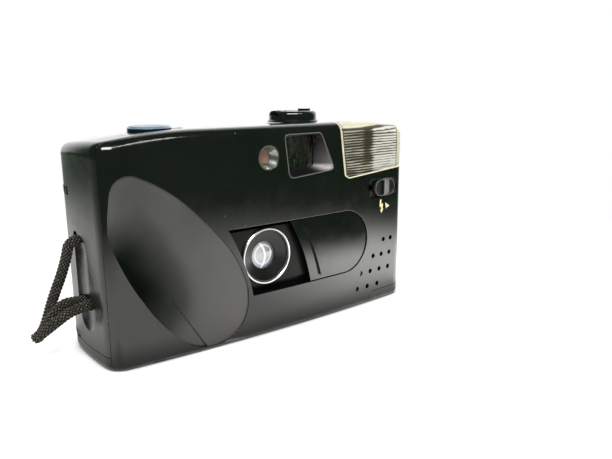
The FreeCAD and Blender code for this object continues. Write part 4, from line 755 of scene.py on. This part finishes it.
def printed(name, shapes, material, rise=0.03, root=0.05):
    """Flat marks on the front. They stand proud by rise and reach into it by root."""
    verts, faces = [], []
    for shape in shapes:
        start, count = len(verts), len(shape)
        for height in (rise, -root):
            verts.extend((x * MM, (front_y(x) - height) * MM, z * MM) for x, z in shape)
        faces.append(tuple(range(start, start + count)))
        faces.append(tuple(range(start + 2 * count - 1, start + count - 1, -1)))
        for corner in range(start, start + count):
            beside = start + (corner - start + 1) % count
            faces.append((beside, corner, corner + count, beside + count))
    return new_piece(name, verts, faces, material, "camera", smooth=False)


COVER_FINISHES = (
    ("gloss black plastic", gloss_plastic,
     ("front_cover", "top_cover", "bottom_cover", "battery_door", "back_door", "door_latch",
      "right_side", "shutter_button")),
    ("side plastic", lambda tree: gloss_plastic(tree, (0.006, 0.006, 0.006), 0.26),
     ("left_side",)),
    ("cover plastic", cover_plastic, ("lens_cover",)),
    ("switch plastic", switch_plastic, ("flash_switch",)),
    ("polished black plastic", lambda tree: gloss_plastic(tree, (0.004, 0.0045, 0.006), 0.09),
     ("rewind_knob", "rewind_crank")),
)
INSIDE_FINISHES = (
    ("satin black plastic", satin_plastic, ("lens_hood",)),
    ("finder bezel", bezel_plastic, ("finder_bezel",)),
    ("coated lens", coated_lens, ("front_lens",)),
    ("panel plastic",
     lambda tree: matte_plastic(tree, (0.003, 0.003, 0.003), 0.35, 0.3, 0.004, 0.2),
     ("lens_panel",)),
    ("silvered plastic", lambda tree: metal(tree, (0.5, 0.5, 0.48), 0.28), ("cell_hood",)),
    ("light cell", lambda tree: matte_plastic(tree, (0.22, 0.13, 0.1), 0.3), ("light_cell",)),
    ("flash foil", lambda tree: metal(tree, (0.86, 0.83, 0.74), 0.2),
     ("flash_diffuser", "flash_reflector")),
    ("finder tube", tube_plastic, ("finder_tunnel",)),
    ("matte black plastic", matte_plastic,
     ("main_frame", "frame_floor", "frame_roof", "lens_cell", "take_up_spool", "spool_rims",
      "sprocket", "thumb_wheel", "take_up_gear", "rewind_fork", "shutter_plate",
      "shutter_blade", "pressure_plate", "capacitor", "battery_cell", "flash_board",
      "transformer", "counter_dial")),
    ("turned metal", metal,
     ("lens_ring", "case_screws", "crank_pin", "hinge_pin", "button_spring", "battery_spring",
      "plate_spring", "cassette_spring", "battery_contact", "tripod_bush", "sprocket_shaft")),
    ("clear plastic", clear_plastic,
     ("finder_window", "eyepiece", "counter_window", "rear_lens", "flash_window", "flash_tube",
      "ready_lamp")),
)


class CAMERA_OT_covers(Operator):
    """Finish the covers, the doors and the knobs"""
    bl_idname = "film_camera.covers"
    bl_label = "Covers"

    def execute(self, context):
        for name, paint, nodes in COVER_FINISHES:
            dress(finish(name, paint), *nodes)
        front = CAD["front_cover"].data.polygons
        button = CAD["shutter_button"].data.polygons
        button_top = [face.index for face in button if face.normal.z > 0.6]
        recess_floor = [number for number in faces_within("front_cover", SWITCH_EDGE)
                        if front[number].center.y > -18 * MM]
        inlay("shutter_button", finish("blue-grey plastic", lambda tree: gloss_plastic(
            tree, (0.1, 0.15, 0.2), 0.25)), button_top)
        inlay("front_cover", finish("grip plastic", grip_plastic),
              faces_within("front_cover", GRIP))
        inlay("front_cover", finish("recess plastic", lambda tree: matte_plastic(
            tree, (0.02, 0.02, 0.02), 0.35)), recess_floor)
        # Painted shade: the dimples' faces are painted near black without gloss
        inlay("front_cover", finish("dimple", lambda tree: matte_plastic(
            tree, (0.001, 0.001, 0.001), 0.8, gloss=0.0)), dimple_faces())
        # Painted highlights: pale rails along the finder's mouth, the switch's recess and the slot
        # stand in for light on those edges
        lip = finish("painted edge highlight", lambda tree: satin_plastic(tree, (0.09, 0.09, 0.085)))
        gilt = finish("gilt plastic", gilt_plastic)
        print_gold = finish("gold print", lambda tree: matte_plastic(
            tree, (0.72, 0.64, 0.36), 0.45))
        edge_line("finder_edge_highlight", FINDER_MOUTH, 0.16, lip)
        edge_line("switch_edge_highlight", SWITCH_EDGE, 0.12, lip)
        edge_line("slot_edge_highlight", SLOT_EDGE, 0.09, lip, closed=False)
        edge_line("flash_lip", FLASH_EDGE, 0.24, gilt, closed=False, depth=0.05)
        printed("flash_marks", MARKS, print_gold)
        return {"FINISHED"}


# Insides

class DialSizes(PropertyGroup):
    marks: IntProperty(
        name="Marks", description="Marks round the frame counter's dial", default=39,
        min=12, max=60)
    ring: FloatProperty(
        name="Ring", description="Radius that the marks stand at", default=0.0056, unit="LENGTH")
    length: FloatProperty(
        name="Length", description="Length of a mark", default=0.0014, unit="LENGTH")
    width: FloatProperty(
        name="Width", description="Width of a mark", default=0.00022, unit="LENGTH")


class CAMERA_OT_insides(Operator):
    """Finish the frame, the film's path and the works"""
    bl_idname = "film_camera.insides"
    bl_label = "Insides"

    def execute(self, context):
        for name, paint, nodes in INSIDE_FINISHES:
            dress(finish(name, paint), *nodes)
        inner, rim = flash_window_faces()
        inlay("flash_window", finish("ribbed screen", ribbed_screen), inner)
        inlay("flash_window", finish("gilt rim", gilt_plastic), rim)
        ink = finish("white ink", lambda tree: matte_plastic(tree, (0.7, 0.7, 0.68), 0.5))
        sizes = context.scene.film_camera_dial
        marks = {"Count": sizes.marks, "Radius": sizes.ring, "Length": sizes.length,
                 "Width": sizes.width, "Thickness": 0.06 * MM}
        dial_top = (-24 * MM, 4.5 * MM, 68.51 * MM)
        piece = ring_of_marks("dial_marks", marks, ink, dial_top, "counter_dial")
        return {"FINISHED"}


# Studio

# The view: its place in metres, its azimuth, elevation and roll in degrees, and its lens in
# millimetres
VIEW_PLACE = (-0.12546, -0.19092, 0.08502)
VIEW_TURN = (-38.417, 12.835, -0.232)
VIEW_LENS = 36.47
# The level direction that it looks in, X and Y
VIEW_AHEAD = (0.62, 0.785)
LAMP_COLOR = (1, 0.96, 0.95)
FLOOR_REACH = 4


class StudioLook(PropertyGroup):
    room: FloatProperty(
        name="Room light", description="Strength of the even light of the room", default=0.55)
    lamp: FloatProperty(
        name="Lamp", description="Brightness of the lamp above", default=12.0)
    gloom: FloatVectorProperty(
        name="Gloom", description="Colour of the unlit part of the room", subtype="COLOR",
        default=(0.05, 0.1, 0.05))


def softbox(name, place, wide, tall, radiance):
    """A rectangular lamp that looks at the body."""
    lamp = bpy.data.lights.new(name, "AREA")
    lamp.shape = "RECTANGLE"
    lamp.size, lamp.size_y = wide, tall
    lamp.energy = radiance * math.pi * wide * tall
    lamp.color = LAMP_COLOR
    holder = placed(name, lamp)
    holder.visible_camera = False
    aim = Vector((0, 0, 0.03)) - Vector(place)
    turn = aim.to_track_quat("-Z", "Y").to_matrix().to_4x4()
    holder.matrix_world = Matrix.Translation(place) @ turn


def paper(tree, gloom):
    """White paper. Gloss mirrors a painted glow on it: bright round the body, white far behind and
    dark elsewhere.
    """
    seen = tree.add("ShaderNodeLightPath")
    x, y, z = tree.parts(tree.place())
    reach = (x * x + y * y) ** 0.5
    dull = {"Roughness": 0.9, "Specular IOR Level": 0.0}
    lit = tree.add("ShaderNodeBsdfPrincipled", inputs={"Base Color": (0.9, 0.9, 0.9), **dull})[0]
    # As it is seen: lamp shading with painted shadow round the body, and white further off
    shelter = tree.add("ShaderNodeAmbientOcclusion", {"samples": 8}, {"Distance": 0.007})["AO"]
    clear = shelter.ramp(0.15, 0.75)
    shaded = tree.add("ShaderNodeBsdfPrincipled", inputs={
        "Base Color": tree.mix(clear, (0.05, 0.05, 0.05), (0.42, 0.42, 0.42)),
        "Emission Color": tree.mix(clear, (0.02, 0.02, 0.02), WHITE),
        "Emission Strength": 0.78, **dull})[0]
    shown = tree.blend(reach.ramp(0.16, 0.3), shaded, tree.shine("Emission", WHITE, 1.0))
    # As gloss mirrors it: a painted glow, with painted shadow at the body's foot and a painted pool
    # of light at its right
    beside = (abs(x) - HALF_WIDTH * MM).high(abs(y) + FRONT_Y * MM)
    pool = ((x - 0.105) ** 2 + (y + 0.064) ** 2) ** 0.5
    glow = (1.2 + pool.ramp(0.01, 0.11, 2.8, 0.0)) * beside.ramp(0.0, 0.022, 0.35, 1.0)
    left_back = (y / reach).ramp(-0.1, 0.5)
    near = (reach * (1 - 0.38 * left_back)).fall(0.12, 0.28)
    behind = ((x * VIEW_AHEAD[0] + y * VIEW_AHEAD[1]) / reach).ramp(0.5, 0.85)
    far = tree.blend(behind, tree.shine("Emission", gloom, 1.0), tree.shine("Emission", WHITE, 1.4))
    mirrored = tree.blend(near, far, tree.shine("Emission", (1.0, 0.99, 0.96), glow))
    plain = tree.blend(seen["Is Camera Ray"].high(seen["Is Transmission Ray"]), lit, shown)
    return tree.blend(seen["Is Glossy Ray"], plain, mirrored)


def light_room(world, strength, gloom):
    """White to the eye, plain for the light. In gloss it is white far behind and dark elsewhere."""
    world.use_nodes = True
    world.node_tree.nodes.clear()
    tree = Tree(world.node_tree)
    seen = tree.add("ShaderNodeLightPath")
    x, y, z = tree.parts(tree.add("ShaderNodeTexCoord")["Generated"])
    behind = (x * VIEW_AHEAD[0] + y * VIEW_AHEAD[1]).ramp(0.35, 0.8)
    gloss = tree.blend(behind, tree.shine("Background", gloom, 1.0),
                       tree.shine("Background", WHITE, 1.4))
    lit = tree.blend(seen["Is Glossy Ray"], tree.shine("Background", WHITE, strength), gloss)
    shown = seen["Is Camera Ray"].high(seen["Is Transmission Ray"])
    whole = tree.blend(shown, lit, tree.shine("Background", WHITE, 1.0))
    tree.add("ShaderNodeOutputWorld", inputs={0: whole})


def place_view(scene):
    """The scene's camera, at the view's place and turn."""
    optics = bpy.data.cameras.new("view")
    optics.sensor_width, optics.lens = 36, VIEW_LENS
    optics.clip_start, optics.clip_end = 0.01, 20
    view = placed("view", optics)
    azimuth, elevation, roll = (math.radians(angle) for angle in VIEW_TURN)
    back = Vector((math.sin(azimuth) * math.cos(elevation),
                   -math.cos(azimuth) * math.cos(elevation), math.sin(elevation)))
    level = (-back).cross(Vector((0, 0, 1))).normalized()
    rise = level.cross(-back)
    right = math.cos(roll) * level + math.sin(roll) * rise
    up = math.cos(roll) * rise - math.sin(roll) * level
    turn = Matrix((right, up, back)).transposed().to_4x4()
    view.matrix_world = Matrix.Translation(VIEW_PLACE) @ turn
    scene.camera = view


class CAMERA_OT_studio(Operator):
    """Set up the floor, the room, the lamps and the camera"""
    bl_idname = "film_camera.studio"
    bl_label = "Studio"

    def execute(self, context):
        scene = context.scene
        look = scene.film_camera_studio
        gloom, far = tuple(look.gloom), FLOOR_REACH
        mesh = bpy.data.meshes.new("floor")
        corners = [(-far, -far, 0), (far, -far, 0), (far, far, 0), (-far, far, 0)]
        mesh.from_pydata(corners, [], [(0, 1, 2, 3)])
        mesh.materials.append(finish("white paper", lambda tree: paper(tree, gloom)))
        floor = placed("floor", mesh)
        scene.world = bpy.data.worlds.new("room")
        light_room(scene.world, look.room, gloom)
        softbox("lamp_above", (-0.30, -0.42, 0.61), 0.62, 0.22, look.lamp * 1.3)
        softbox("lamp_side", (0.11, -0.49, 0.61), 0.18, 0.12, look.lamp * 0.7)
        place_view(scene)
        scene.view_settings.view_transform = "Standard"
        return {"FINISHED"}


class CAMERA_PT_steps(Panel):
    """The camera's steps and sizes"""
    bl_label = "Film camera"
    bl_space_type = "VIEW_3D"
    bl_region_type = "UI"
    bl_category = "Film camera"

    def draw(self, context):
        layout = self.layout
        for group in (getattr(context.scene, key) for key in GROUPS):
            for key in group.__annotations__:
                layout.prop(group, key)
        for step in STEPS:
            layout.operator(step.bl_idname)


GROUPS = {
    "film_camera_cord": CordSizes, "film_camera_dial": DialSizes, "film_camera_studio": StudioLook}
STEPS = (CAMERA_OT_studio, CAMERA_OT_wrist_cord, CAMERA_OT_covers, CAMERA_OT_insides)


def register():
    for kind in (*GROUPS.values(), *STEPS, CAMERA_PT_steps):
        bpy.utils.register_class(kind)
    for key, kind in GROUPS.items():
        setattr(bpy.types.Scene, key, PointerProperty(type=kind))


def unregister():
    for key in GROUPS:
        delattr(bpy.types.Scene, key)
    for kind in (CAMERA_PT_steps, *reversed(STEPS), *reversed(GROUPS.values())):
        bpy.utils.unregister_class(kind)


def main():
    register()
    bpy.ops.film_camera.studio()
    bpy.ops.film_camera.wrist_cord()
    bpy.ops.film_camera.covers()
    bpy.ops.film_camera.insides()


if __name__ == "__main__":
    main()
